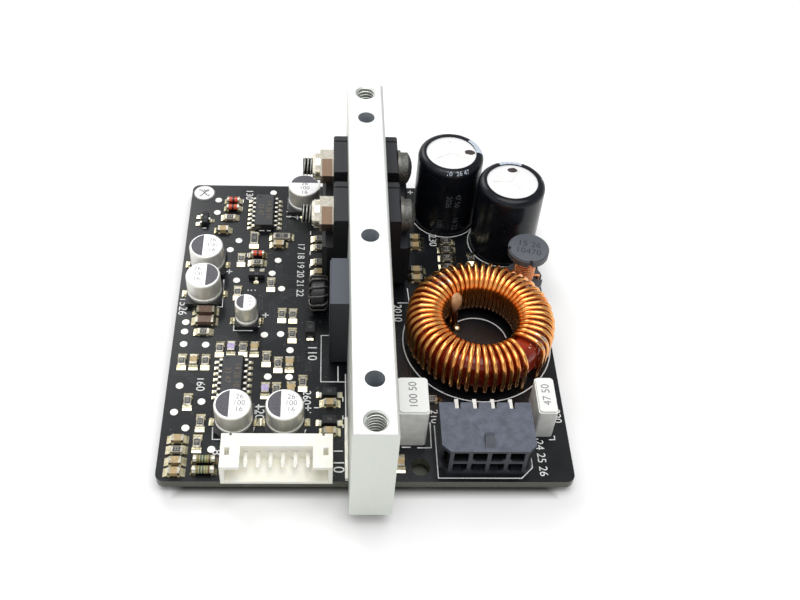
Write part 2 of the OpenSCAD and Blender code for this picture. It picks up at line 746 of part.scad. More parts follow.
// Moulded box with rounded upright edges and a bevelled top
module film_box(w, h) {
    edge = 0.35;
    linear_extrude(h - edge) round_rect(w, film_l, 0.5);
    translate([0, 0, h - edge]) linear_extrude(edge) round_rect(w - edge, film_l - edge, 0.5);
}

module film_box_large() {
    color("#e9ebe8") at(film_big_at) film_box(film_big_w, film_big_h);
}

module film_box_small() {
    color("#e9ebe8") at(film_small_at) film_box(film_small_w, film_small_h);
}

module film_leads() {
    color("#c4c6c8") for (f = film_feet) at(f) round_lead(0, film_lead_d);
}

// Keyed window outline: the lower corners named in keys are cut
module key_window(keys) {
    s = pow_window / 2;
    c = 0.7;
    polygon(concat(
        keys.x ? [[c - s, -s], [-s, c - s]] : [[-s, -s]], [[-s, s], [s, s]],
        keys.y ? [[s, c - s], [s - c, -s]] : [[s, -s]]
    ));
}

// One L shaped pin row member: height z, bent down at y = back
module pow_pin_shape(z, back, grow = 0) {
    side = pow_pin + 2 * grow;
    translate([-side / 2, 3, z - side / 2]) cube([side, back - 3 + side / 2, side]);
    translate([-side / 2, back - side / 2, -pin_drop]) cube([side, side, pin_drop + z + side / 2]);
}

module pow_pins_all(grow = 0) {
    for (k = pow_cols) translate([k, 0, 0]) {
        pow_pin_shape(pow_row_z + pow_pitch, pow_back[0], grow);
        pow_pin_shape(pow_row_z, pow_back[1], grow);
    }
}

pow_keys = [[[0, 1], [1, 0], [0, 1], [1, 0]], [[0, 0], [1, 0], [0, 1], [1, 0]]];
module power_header() {
    wall = 0.8;
    hood = pow_back[1] - pow_pin;
    nose = 2.4;
    cut = 1.3;
    color("#676b78") at(pow_at) difference() {
        union() {
            // Block with the windows
            translate([-pow_block_w / 2, 0, 0]) cube([pow_block_w, hood, pow_h]);
            // Flanges with cut front corners
            for (z = [0, pow_h - wall]) translate([0, 0, z]) linear_extrude(wall) polygon([
                [-pow_block_w / 2, 0], [pow_block_w / 2, 0], [pow_w / 2, cut], [pow_w / 2, hood],
                [-pow_w / 2, hood], [-pow_w / 2, cut]
            ]);
            // Cheeks behind the nose and the roof over the bent pins
            for (s = [-1, 1]) translate([s * (pow_w / 2 - wall / 2) - wall / 2, nose, 0])
                cube([wall, pow_l - nose, pow_h]);
            translate([-pow_w / 2, hood - eps, pow_h - wall]) cube([pow_w, pow_l - hood + eps, wall]);
            // Web that closes the cheeks behind the flanges
            translate([-pow_w / 2, hood - 1, 0]) cube([pow_w, 1, pow_h]);
        }
        for (row = [0, 1]) for (i = [0:3])
            translate([pow_cols[i], 6, pow_row_z + row * pow_pitch])
                rotate([90, 0, 0]) linear_extrude(7) key_window(pow_keys[row][i]);
        // Slots in the roof that show the upper pins
        for (k = pow_cols) translate([k, pow_l, pow_h]) cube([1, 2.4, 2 * wall + 1], center = true);
        pow_pins_all(play);
    }
    // Latch ramp on the roof
    color("#5a5e6a") at(pow_at) translate([0, 0.3, pow_h]) along_ramp(1.5, 2.7, 1);
}

// Wedge that rises towards the rear
module along_ramp(w, l, h) {
    translate([-w / 2, 0, 0]) rotate([90, 0, 90]) linear_extrude(w)
        polygon([[0, 0], [l, 0], [l, h], [l - 0.6, h]]);
}

module power_pins() {
    color("#dcdcd4") at(pow_at) pow_pins_all();
}

// One pin of the signal header, from its tip at y = tip to its foot
sig_row_z = 2.4;
sig_tip = 1.5;
module sig_pin_shape(grow = 0) {
    side = sig_pin + 2 * grow;
    translate([-side / 2, sig_tip + 0.4, sig_row_z - side / 2])
        cube([side, sig_foot - sig_tip - 0.4 + side / 2, side]);
    translate([-side / 2 + 0.1, sig_tip, sig_row_z - side / 2 + 0.1])
        cube([side - 0.2, 0.5, side - 0.2]);
    translate([-side / 2, sig_foot - side / 2, -pin_drop])
        cube([side, side, pin_drop + sig_row_z + side / 2]);
}

module signal_header() {
    floor_t = 0.6;
    back_t = 2;
    open_w = sig_w - 6.3;
    color("#f1eee2") at(sig_at) difference() {
        translate([-sig_w / 2, 0, 0]) cube([sig_w, sig_l, sig_h]);
        // Socket, open to the front
        translate([sig_wall - sig_w / 2, -1, floor_t])
            cube([sig_w - 2 * sig_wall, sig_l - back_t + 1, sig_h - floor_t - sig_wall]);
        // Gap in the top wall over the pins
        translate([-open_w / 2, -1, floor_t + 1]) cube([open_w, sig_l - 2.4 + 1, sig_h]);
        // Latch windows and rear notches
        for (s = [-1, 1]) {
            translate([s * (sig_w / 2 - 1.1) - 0.4, 2.3, sig_h / 2]) cube([0.8, 1.4, sig_h]);
            translate([s * (sig_w / 2 - 1.5) - 0.2, sig_l - 0.4, sig_h - 1.2]) cube([0.4, 1, 2]);
        }
        for (k = sig_cols) translate([k, 0, 0]) sig_pin_shape(play);
    }
}

module signal_pins() {
    color("#e6e6df") at(sig_at) for (k = sig_cols) translate([k, 0, 0]) sig_pin_shape();
}

module board_cans() {
    color("#b9b8ae") for (c = cans) at(c, land_t + can_base_h, c.z) rotate_extrude() {
        tall = can_h - can_base_h - land_t;
        rad = c[3] / 2;
        intersection() {
            difference() {
                can_section(rad, tall, 0.4);
                // Crimped waist above the base
                translate([rad + 0.25, 0.9]) circle(0.45);
            }
            square([rad, tall]);
        }
    }
}

module can_bases() {
    color("#26272a") for (c = cans) at(c, land_t, c.z) {
        side = c[3] + 0.3;
        cut = side * 0.16;
        linear_extrude(can_base_h) polygon([
            [cut - side / 2, -side / 2], [side / 2, -side / 2], [side / 2, side / 2],
            [cut - side / 2, side / 2], [-side / 2, side / 2 - cut], [-side / 2, cut - side / 2]
        ]);
    }
}

module can_tabs() {
    color("#c9cbc4") for (c = cans) at(c, land_t, c.z) for (s = [0, 180]) rotate([0, 0, s])
        translate([c[3] / 2 + 0.15, -0.35, 0]) cube([0.4, 0.7, 0.3]);
}

module ic_bodies() {
    long = (ic_leads_side - 1) * ic_pitch + 1.03;
    foot = 0.15;
    color("#2b2c2e") for (c = ics) at(c, foot) difference() {
        rotate([90, 0, 0]) linear_extrude(long, center = true) polygon([
            [0.2 - ic_w / 2, 0], [ic_w / 2 - 0.2, 0], [ic_w / 2, (ic_h - foot) / 2],
            [ic_w / 2 - 0.35, ic_h - foot], [0.15 - ic_w / 2, ic_h - foot], [-ic_w / 2, (ic_h - foot) / 2]
        ]);
        translate([0.9 - ic_w / 2, long / 2 - 0.9, ic_h - foot - 0.08]) cylinder(h = 1, d = 0.7, $fn = 24);
    }
}

// Gull wing lead from a body side at x = 0 out to x = reach, standing on a land
module gull(reach, high, w, t = 0.2) {
    along_y(w) polygon([
        [0, high], [0, high - t], [0.3 * reach, high - t], [0.45 * reach, 0], [reach, 0], [reach, t],
        [0.45 * reach + t, t], [0.3 * reach + t, high]
    ]);
}

module ic_leads() {
    reach = (ic_span - ic_w) / 2;
    color("#c9cbc4") for (c = ics) for (k = [0:ic_leads_side - 1]) for (s = [0, 180])
        at([c.x, c.y + (k - (ic_leads_side - 1) / 2) * ic_pitch], land_t) rotate([0, 0, s])
            translate([ic_w / 2, 0, 0]) gull(reach, (0.15 + ic_h) / 2 - land_t + 0.1, 0.42);
}

// Ceramic middle of a chip between its metal ends
module chip_body(l, w, h) {
    translate([0, 0, h / 2]) cube([l - 2 * chip_end, w, h], center = true);
}

module chip_ends_pair(l, w, h) {
    for (s = [-1, 1]) translate([s * (l - chip_end) / 2, 0, h / 2]) cube([chip_end, w, h], center = true);
}

module chip_resistors() {
    color("#35363a") {
        for (c = resistors) at(c, land_t, c.z) chip_body(chip_l, chip_w, chip_res_h);
        for (c = long_resistors) at(c, land_t, c.z) chip_body(long_l, long_w, chip_res_h);
    }
}

module chip_capacitors_tan() {
    color("#c0965f") for (c = tan_caps) at(c, land_t, c.z) chip_body(chip_l, chip_w, chip_cap_h);
}

module chip_capacitors_brown() {
    color("#6a4b3e") for (c = brown_caps) at(c, land_t, c.z) chip_body(long_l, long_w, chip_cap_h);
}

module chip_capacitors_violet() {
    color("#9b86c8") for (c = violet_caps) at(c, land_t, c.z) chip_body(chip_l, chip_w, chip_cap_h);
}

module chip_ends() {
    color("#d6d5cb") {
        for (c = resistors) at(c, land_t, c.z) chip_ends_pair(chip_l, chip_w, chip_res_h);
        for (c = concat(tan_caps, violet_caps)) at(c, land_t, c.z) chip_ends_pair(chip_l, chip_w, chip_cap_h);
        for (c = brown_caps) at(c, land_t, c.z) chip_ends_pair(long_l, long_w, chip_cap_h);
        for (c = long_resistors) at(c, land_t, c.z) chip_ends_pair(long_l, long_w, chip_res_h);
    }
}

// Round body lying along X between its caps
melf_cap = 0.5;
glass_cap = 0.35;
module melf_body(d, l, cap) {
    translate([0, 0, d / 2]) rotate([0, 90, 0])
        cylinder(h = l - 2 * cap, d = d - 0.1, center = true, $fn = 32);
}

module melf_caps(d, l, cap) {
    for (s = [-1, 1]) translate([s * (l - cap) / 2, 0, d / 2])
        rotate([0, 90, 0]) cylinder(h = cap, d = d, center = true, $fn = 32);
}

module glass_diodes() {
    color("#d8432a") for (g = glass) at(g, land_t) melf_body(glass_d, glass_l, glass_cap);
}

module film_resistors() {
    color("#8fa3a0") for (g = films) at(g, land_t) melf_body(melf_d, melf_l, melf_cap);
}

module melf_ends() {
    color("#d6d5cb") {
        for (g = glass) at(g, land_t) melf_caps(glass_d, glass_l, glass_cap);
        for (g = films) at(g, land_t) melf_caps(melf_d, melf_l, melf_cap);
    }
}

// Three lead body: width along Y
tiny_w = 1.3;
tiny_l = 2.9;
tiny_h = 1;
tiny_span = 2.4;
module small_transistors() {
    color("#2b2c2e") for (c = tiny) at(c, land_t + 0.05, c.z) along_y(tiny_l) polygon([
        [0.1 - tiny_w / 2, 0], [tiny_w / 2 - 0.1, 0], [tiny_w / 2, 0.5],
        [tiny_w / 2 - 0.15, tiny_h], [0.15 - tiny_w / 2, tiny_h], [-tiny_w / 2, 0.5]
    ]);
}

tiny_feet = [[1, -0.95], [1, 0.95], [-1, 0]];
module small_leads() {
    reach = (tiny_span - tiny_w) / 2;
    color("#c9cbc4") for (c = tiny) at(c, land_t, c.z) for (f = tiny_feet)
        translate([0, f.y, 0]) rotate([0, 0, f.x > 0 ? 180 : 0])
            translate([tiny_w / 2, 0, 0]) gull(reach, 0.65, 0.4, 0.15);
}

diode_w = 1.6;
diode_l = 2.7;
diode_h = 1.2;
module small_diodes() {
    color("#2b2c2e") for (c = diodes) at(c, land_t, c.z) along_y(diode_w) polygon([
        [0.1 - diode_l / 2, 0], [diode_l / 2 - 0.1, 0], [diode_l / 2, 0.5],
        [diode_l / 2 - 0.15, diode_h], [0.15 - diode_l / 2, diode_h], [-diode_l / 2, 0.5]
    ]);
}

module diode_tabs() {
    color("#c9cbc4") for (c = diodes) at(c, land_t, c.z) for (s = [0, 180]) rotate([0, 0, s])
        translate([diode_l / 2, -0.4, 0]) cube([0.5, 0.8, 0.15]);
}

module ring_core() {
    wide = (ring_od - ring_id) / 2;
    color("#2f3033") at(ring_at, ring_up) rotate([0, 90, 0]) rotate_extrude()
        translate([ring_id / 2 + wide / 2, 0]) round_rect(wide, ring_t, ring_r);
}

// Turns over the upper part of the small ring, both ends run down through the board
module ring_winding() {
    round_in = turn_points(ring_id / 2, ring_od / 2, ring_t, ring_r, wrap(ring_r, ring_wire_d));
    outer = [for (i = [0:11]) round_in[(i + 3) % 12]];
    wound = turns(outer, ring_start, ring_span / ring_turns, ring_turns + 1, 0);
    low = ring_up + pin_drop;
    first = wound[0];
    end = wound[len(wound) - 1];
    line = concat([[low, first.y, first.z, first[3]]], wound, [[low, end.y, end.z, end[3]]]);
    color("#3b3a38") at(ring_at, ring_up) rotate([0, 90, 0]) translate([0, 0, -ring_t / 2])
        wire([for (q = line) place(q)], [for (q = line) side_way(q)], ring_wire_d);
}

// Land under a part's end at x = inner, with a solder fillet against an end face at x = face
module land(inner, face, outer, w, rise) {
    along_y(w) polygon([
        [inner, 0], [outer, 0], [outer, land_t], [face + 0.5 * (outer - face), land_t + 0.35 * rise],
        [face, land_t + rise], [face, land_t], [inner, land_t]
    ]);
}

module land_pair(l, w, rise, under = chip_end, past = pad_past) {
    for (s = [0, 180]) rotate([0, 0, s]) land(l / 2 - under, l / 2, l / 2 + past, w, rise);
}

// Width that a land has beyond its chip
land_side = 0.3;
module solder_lands() {
    color("#cfcdbd") {
        for (c = resistors) at(c, 0, c.z) land_pair(chip_l, chip_w + land_side, chip_res_h * 0.7);
        for (c = long_resistors) at(c, 0, c.z) land_pair(long_l, long_w + land_side, chip_res_h * 0.7);
        for (c = concat(tan_caps, violet_caps)) at(c, 0, c.z)
            land_pair(chip_l, chip_w + land_side, chip_cap_h * 0.5);
        for (c = brown_caps) at(c, 0, c.z) land_pair(long_l, long_w + land_side, chip_cap_h * 0.5);
        for (g = films) at(g) land_pair(melf_l, melf_d * 0.9, melf_d * 0.4, melf_cap, 0.4);
        for (g = glass) at(g) land_pair(glass_l, glass_d * 1.1, glass_d * 0.4, glass_cap, glass_past);
        for (c = cans) at(c, 0, c.z) land_pair(c[3] + 1.1, 1.5, 0.2, 2.2, 0.5);
        for (c = diodes) at(c, 0, c.z) land_pair(diode_l + 1, 1.2, 0.1, 0.5, 0.4);
        for (c = ics) for (k = [0:ic_leads_side - 1])
            at([c.x, c.y + (k - (ic_leads_side - 1) / 2) * ic_pitch]) land_pair(ic_span, 0.6, 0.1, 0.6, 0.35);
        for (c = tiny) at(c, 0, c.z) for (f = tiny_feet) translate([0, f.y, 0])
            rotate([0, 0, f.x > 0 ? 180 : 0])
                land(tiny_span / 2 - 0.35, tiny_span / 2, tiny_span / 2 + 0.6, 0.9, 0.1);
    }
}

module test_points() {
    color("#d9d8cf") for (t = tests) at(t) cylinder(h = land_t, d = test_d, $fn = 32);
}

// Solder cones round the leads under the board
joint_w = 0.55;
joint_h = 0.7;
module solder_joints() {
    color("#cfcdbd") for (f = feet) at(f, -board_t - joint_h) difference() {
        cylinder(h = joint_h, d1 = f.z + 0.15, d2 = f.z + 2 * joint_w, $fn = 24);
        translate([0, 0, -1]) cylinder(h = joint_h + 2, d = f.z + play, $fn = 24);
    }
}

module inspection_dot() {
    color("#eef0ee") at(dot_at) cylinder(h = dot_t, d = dot_d);
}

circuit_board();
heat_bar();
earth_strip();
power_transistors();
transistor_leads();
clamp_bolts();
clamp_nuts();
clamp_washers();
power_resistor();
resistor_leads();
bulk_cans();
bulk_sleeves();
bulk_leads();
choke_core();
choke_winding();
drum_core();
drum_winding();
drum_leads();
film_box_large();
film_box_small();
film_leads();
power_header();
power_pins();
signal_header();
signal_pins();
board_cans();
can_bases();
can_tabs();
ic_bodies();
ic_leads();
chip_resistors();
chip_capacitors_tan();
chip_capacitors_brown();
chip_capacitors_violet();
chip_ends();
glass_diodes();
film_resistors();
melf_ends();
small_transistors();
small_leads();
small_diodes();
diode_tabs();
ring_core();
ring_winding();
solder_lands();
test_points();
solder_joints();
inspection_dot();
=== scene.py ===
# %% [markdown]
# # Power supply module: the looks
# The construction model gives every solid of the module: the board, the aluminium bar, the power parts and
# the rows of chips. This script loads it as a fixed frame and then does what a construction model can't:
# finishes, round wire, threads, print on the board and light. Everything is in metres in the scene, and in
# millimetres in the lists below, because that is how a board is drawn.

# %% Load the frame
import math
import random
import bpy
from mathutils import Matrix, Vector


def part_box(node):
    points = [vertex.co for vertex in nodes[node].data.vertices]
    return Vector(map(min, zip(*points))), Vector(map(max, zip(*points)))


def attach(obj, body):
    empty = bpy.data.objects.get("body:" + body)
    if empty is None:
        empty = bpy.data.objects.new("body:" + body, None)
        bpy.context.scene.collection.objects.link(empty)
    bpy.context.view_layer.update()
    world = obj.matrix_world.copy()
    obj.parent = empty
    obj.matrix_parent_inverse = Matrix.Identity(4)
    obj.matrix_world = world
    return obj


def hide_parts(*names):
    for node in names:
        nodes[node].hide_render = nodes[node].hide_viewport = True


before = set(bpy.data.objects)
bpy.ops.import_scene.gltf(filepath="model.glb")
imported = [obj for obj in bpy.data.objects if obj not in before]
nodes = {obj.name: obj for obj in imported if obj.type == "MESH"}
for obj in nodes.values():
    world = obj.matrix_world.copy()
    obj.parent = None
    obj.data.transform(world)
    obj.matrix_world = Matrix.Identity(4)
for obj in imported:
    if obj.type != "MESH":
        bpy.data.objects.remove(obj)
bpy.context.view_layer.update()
from types import SimpleNamespace
import bmesh
import bpy
from mathutils import Matrix, Vector


def box_mm(name):
    """The lowest and the highest corner of a node, in millimetres."""
    return [corner * 1000 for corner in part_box(name)]


def put(name, data):
    """Puts data in the scene as an object."""
    thing = bpy.data.objects.new(name, data)
    bpy.context.collection.objects.link(thing)
    return thing


# %% [markdown]
# ## Tools for nodes and colours
# A shader and a geometry tree are both boxes joined by wires, so one small function can add any box: settings
# go on the node, and each input gets a number, a colour or a wire from another node. Colours are read off a
# screen as sRGB, while a renderer adds up light, so each hex value is turned to linear once, here.

# %% Colour and node tools
def linear(code):
    """Turns an sRGB hex code into the linear colour that shaders use."""
    parts = [int(code[i:i + 2], 16) / 255 for i in (1, 3, 5)]
    return [c / 12.92 if c <= 0.04045 else ((c + 0.055) / 1.055) ** 2.4 for c in parts] + [1]


def feed(tree, socket, value):
    """Gives an input a value, a hex colour, a wire, or a node, which then sends its first live output."""
    if isinstance(value, bpy.types.Node):
        value = next(output for output in value.outputs if output.enabled)
    if isinstance(value, bpy.types.NodeSocket):
        tree.links.new(value, socket)
    elif isinstance(value, str) and value.startswith("#"):
        socket.default_value = linear(value)
    else:
        socket.default_value = value


def add(tree, kind, inputs=None, **settings):
    """Adds one node: settings on the node itself, inputs by socket name or number."""
    node = tree.nodes.new(kind)
    for name, value in settings.items():
        setattr(node, name, value)
    for key, value in (inputs or {}).items():
        feed(tree, node.inputs[key], value)
    return node


print("screen grey 808080 is", round(linear("#808080")[0], 3), "of full light")

# %% [markdown]
# ## What a finish is
# No real surface has one flat colour. Each finish here wanders between a dark and a light tint over grains
# of a given size, and its gloss wanders along with it. Other colours can then be laid over it by a share: on
# faces that point up, where the paler colour is mostly painted light from above, in specks of dust, or within
# some distance of a place.

# %% Finish tools
def facing(tree):
    """The way that a face points, as X, Y and Z."""
    normal = add(tree, "ShaderNodeNewGeometry").outputs["Normal"]
    return add(tree, "ShaderNodeSeparateXYZ", {0: normal}).outputs


def cover(look, colour, *shares, **limits):
    """Lays a colour over a finish by the product of some shares, each from 0 to 1.

    A limit is a share too: it names an axis, and is 1 within half a width of a middle, both in millimetres.
    """
    shares = list(shares)
    for axis, (middle, half) in limits.items():
        sums = {0: look.at[axis], 1: middle, 2: half}
        shares.append(add(look.tree, "ShaderNodeMath", sums, operation="COMPARE"))
    amount = shares.pop()
    for share in shares:
        amount = add(look.tree, "ShaderNodeMath", {0: share, 1: amount}, operation="MULTIPLY")
    look.colour = add(look.tree, "ShaderNodeMix", {0: amount, 6: look.colour, 7: colour}, data_type="RGBA")
    feed(look.tree, look.shader.inputs["Base Color"], look.colour)


def finish(name, dark, light, grain, rough, bump=0, top=None, specks=0, **sockets):
    """A finish whose colour and roughness wander over grains of that many millimetres.

    Faces that point up can take a paler colour, painted light from above, and dust can lie on it in specks
    that many millimetres apart.
    The look holds the material, its tree and shader, the place in millimetres and the colour so far.
    """
    material = bpy.data.materials.new(name)
    material.use_nodes = True
    tree = material.node_tree
    look = SimpleNamespace(material=material, tree=tree, shader=tree.nodes["Principled BSDF"], colour=dark)
    for key, value in sockets.items():
        look.shader.inputs[key.replace("_", " ")].default_value = value
    place = add(tree, "ShaderNodeTexCoord").outputs["Object"]
    look.mm = add(tree, "ShaderNodeVectorMath", {0: place, "Scale": 1000}, operation="SCALE")
    look.at = add(tree, "ShaderNodeSeparateXYZ", {0: look.mm}).outputs
    cloud = add(tree, "ShaderNodeTexNoise", {"Vector": look.mm, "Scale": 1 / grain, "Detail": 4})
    share = add(tree, "ShaderNodeMapRange", {0: cloud, 1: 0.3, 2: 0.7})
    cover(look, light, share)
    # Painted light, with dust on some parts: faces that point up take the paler top colour.
    if top:
        cover(look, top, add(tree, "ShaderNodeMapRange", {0: facing(tree)["Z"], 1: 0.5, 2: 0.95}))
    if specks:
        speck_radius = 0.07
        away = add(tree, "ShaderNodeTexVoronoi", {"Vector": look.mm, "Scale": 1 / specks})
        dust = add(tree, "ShaderNodeMath", {0: away, 1: speck_radius / specks}, operation="LESS_THAN")
        cover(look, "#8b8b89", dust)
    gloss = add(tree, "ShaderNodeMapRange", {0: share, 3: rough[0], 4: rough[1]})
    feed(tree, look.shader.inputs["Roughness"], gloss)
    if bump:
        relief = add(tree, "ShaderNodeBump", {"Height": cloud, "Strength": 1, "Distance": bump / 1000})
        feed(tree, look.shader.inputs["Normal"], relief)
    return look


def dress(look, *names):
    """Puts a finish on construction nodes."""
    for name in names:
        slots = nodes[name].data.materials
        slots.clear()
        slots.append(look.material)
    print(look.material.name, "on", ", ".join(names))


print("nodes to dress:", len(nodes))

# %% [markdown]
# ## Camera
# The photograph was taken from the front and about 48 degrees above the board. A camera was fitted to the
# board's corners, the headers' pins and the bar, and its place and angles are used here as they came out. The
# small shift stands for the crop of the picture.

# %% Camera
yaw, pitch, roll = (math.radians(a) for a in (3.762, 47.961, -3.374))
ahead = Vector((math.sin(yaw) * math.cos(pitch), math.cos(yaw) * math.cos(pitch), -math.sin(pitch)))
level = Vector((math.cos(yaw), -math.sin(yaw), 0))
down = ahead.cross(level)
across = math.cos(roll) * level + math.sin(roll) * down
upward = math.sin(roll) * level - math.cos(roll) * down
lens = bpy.data.cameras.new("camera")
lens.sensor_width = 36
lens.lens = 46.733
lens.shift_x = 0.04034
lens.shift_y = -0.01128
lens.clip_start = 0.005
camera = put("camera", lens)
axes = Matrix((across, upward, -ahead)).transposed().to_4x4()
camera.matrix_world = Matrix.Translation((-0.007528, -0.123119, 0.147793)) @ axes
bpy.context.scene.camera = camera
print("camera at mm", [round(c * 1000, 1) for c in camera.location])

# %% [markdown]
# ## White room
# The world is white to the camera, dimmer overhead and towards the right to reflections, and dim as a lamp,
# so the background is white without burning out the parts. Light paths tell these apart: a ray knows whether
# it comes from the camera, from a glossy surface or through a clear one.

# %% White room
def seen(tree):
    """A share of 1 for what the camera sees, and one for what it, reflections and clear parts see."""
    path = add(tree, "ShaderNodeLightPath").outputs
    by_camera = path["Is Camera Ray"]
    by_all = add(tree, "ShaderNodeMath", {0: by_camera, 1: path["Is Glossy Ray"]}, operation="MAXIMUM")
    by_all = add(tree, "ShaderNodeMath", {0: by_all, 1: path["Is Transmission Ray"]}, operation="MAXIMUM")
    return by_camera, by_all


scene = bpy.context.scene
scene.view_settings.view_transform = "Standard"
world = bpy.data.worlds.new("white_room")
world.use_nodes = True
scene.world = world
tree = world.node_tree
tree.nodes.clear()
by_camera, by_all = seen(tree)
direction = add(tree, "ShaderNodeTexCoord").outputs["Generated"]
way = add(tree, "ShaderNodeSeparateXYZ", {0: direction}).outputs
overhead = add(tree, "ShaderNodeMapRange", {0: way["Z"], 1: 0.1, 2: 0.9, 3: 1.0, 4: 0.5})
leftward = add(tree, "ShaderNodeMapRange", {0: way["X"], 1: -0.22, 2: 0.22, 3: 1.35, 4: 0.6})
mirrored = add(tree, "ShaderNodeMath", {0: overhead, 1: leftward}, operation="MULTIPLY")
as_seen = add(tree, "ShaderNodeMix", {0: by_camera, 2: mirrored, 3: 1.0})
strength = add(tree, "ShaderNodeMix", {0: by_all, 2: 0.38, 3: as_seen})
white = add(tree, "ShaderNodeBackground", {"Color": "#ffffff", "Strength": strength})
add(tree, "ShaderNodeOutputWorld", {"Surface": white})
print("world", world.name, len(tree.nodes), "nodes")

# %% [markdown]
# ## Floor
# The module lies on a white sheet that keeps its own shadow: an ordinary pale surface with a little glow that
# only the camera and reflections see. Under the board and just in front of it the sheet is painted darker and
# has no glow: a painted shadow that deepens the shadow along the board's front edge. Far from the lamps the
# glow grows, so that the sheet stays white up to the horizon.

# %% Floor
board_low, board_high = box_mm("circuit_board")
front = -board_low.y / 1000
sheet = bpy.data.materials.new("white_sheet")
sheet.use_nodes = True
tree = sheet.node_tree
tree.nodes.clear()
by_camera, by_all = seen(tree)
place = add(tree, "ShaderNodeTexCoord").outputs["Object"]
reach = add(tree, "ShaderNodeVectorMath", {0: place}, operation="ABSOLUTE")
reach = add(tree, "ShaderNodeSeparateXYZ", {0: reach}).outputs
# The dark patch ends four millimetres sooner at the sides, where the photograph shows next to no shadow.
beyond = add(tree, "ShaderNodeMath", {0: reach["X"], 1: 0.004})
past = add(tree, "ShaderNodeMath", {0: beyond, 1: reach["Y"]}, operation="MAXIMUM")
# Painted shadow: under and just in front of the board the sheet's colour turns dark and its glow is left out.
under = add(tree, "ShaderNodeMapRange", {0: past, 1: front - 0.00095, 2: front + 0.00145})
painted_shadow = add(tree, "ShaderNodeMix", {0: under, 6: "#6a6a62", 7: "#f2f2f2"}, data_type="RGBA")
matt = add(tree, "ShaderNodeBsdfDiffuse", {"Color": painted_shadow})
clear = add(tree, "ShaderNodeMapRange", {0: past, 1: front - 0.00025, 2: front + 0.01175, 4: 0.18})
near_glow = add(tree, "ShaderNodeMath", {0: by_all, 1: clear}, operation="MULTIPLY")
far = add(tree, "ShaderNodeMapRange", {0: past, 1: 0.12, 2: 0.8, 4: 0.5})
far_glow = add(tree, "ShaderNodeMath", {0: by_camera, 1: far}, operation="MULTIPLY")
glow_level = add(tree, "ShaderNodeMath", {0: near_glow, 1: far_glow})
glow = add(tree, "ShaderNodeEmission", {"Color": "#ffffff", "Strength": glow_level})
sheet_light = add(tree, "ShaderNodeAddShader", {0: matt, 1: glow})
add(tree, "ShaderNodeOutputMaterial", {"Surface": sheet_light})

half_sheet = 3
corners = [(x * half_sheet, y * half_sheet, 0) for x, y in ((-1, -1), (1, -1), (1, 1), (-1, 1))]
mesh = bpy.data.meshes.new("floor")
mesh.from_pydata(corners, [], [(0, 1, 2, 3)])
mesh.materials.append(sheet)
floor = put("floor", mesh)
print("floor", 2 * half_sheet, "m wide")

# %% [markdown]
# ## Lamps
# A large soft lamp hangs above the module, a little to the front, and a weaker one stands behind on the left.
# Its glare is what lies on the left of the board.

# %% Lamps
lamps = (("softbox", (0.05, -0.05, 0.6), 0.5, 2.7), ("window", (-0.28, 0.54, 0.5), 0.3, 1.4))
for name, place, size, watts in lamps:
    lamp = bpy.data.lights.new(name, "AREA")
    lamp.size = size
    lamp.energy = watts
    holder = put(name, lamp)
    holder.location = place
    holder.rotation_euler = (-Vector(place)).to_track_quat("-Z", "Y").to_euler()
    print("lamp", name, watts, "W")

# %% [markdown]
# ## Board
# The board is glass cloth in epoxy under a black solder mask. The mask is a satin lacquer: from the front it
# mirrors the room a little and looks charcoal. Only its sawn edge shows the olive grey glass. Height tells
# the two apart, as all of the mask lies on the top and bottom faces.

# %% Solder mask and sawn edge
mask = finish("solder_mask_black", "#0d1013", "#15181c", 6, (0.22, 0.3), 0.004, Specular_IOR_Level=0.38)
cloth = add(mask.tree, "ShaderNodeTexWave", {"Vector": mask.mm, "Scale": 0.9, "Distortion": 2},
            bands_direction="Z")
edge = add(mask.tree, "ShaderNodeMix", {0: cloth.outputs[1], 6: "#3b3d31", 7: "#55584a"}, data_type="RGBA")
mask_depth = 0.03
half_glass = (board_high.z - board_low.z) / 2 - mask_depth
cover(mask, edge, Z=((board_low.z + board_high.z) / 2, half_glass))
dress(mask, "circuit_board")

# %% [markdown]
# ## Metals
# Metals have no colour of their own besides the tint of their reflections, so each one here is a tint, a
# roughness and a fine relief from how it was made: the bar is drawn, blasted and clear anodised, the cans are
# deep drawn, the nuts are bright zinc, the bolts blackened, and solder sets with a slightly rippled skin.

# %% Bar
# Blasted and anodised: an even finish with a grain too fine to see one by one; its nearly white top against a
# greyer front is painted light from above.
# The real grain is under a tenth of a millimetre; it is drawn a little coarser so that a picture can hold it.
anodised = finish("clear_anodised_aluminium", "#ccd0ca", "#d8dbd5", 0.12, (0.42, 0.55), 0.005, top="#f6f7f5",
                  Metallic=1)
bar_low, bar_high = box_mm("heat_bar")
bar_mid = (bar_low + bar_high) / 2
# Painted reflection: the walls of the three plain holes mirror one another and look slate blue, so they take
# a pale blue tint.
tilt = facing(anodised.tree)["Z"]
upright = add(anodised.tree, "ShaderNodeMath", {0: tilt, 1: 0, 2: 0.5}, operation="COMPARE")
cover(anodised, "#e9eef2", upright, X=(bar_mid.x, 2.6), Y=(bar_mid.y, 35))
dress(anodised, "heat_bar")

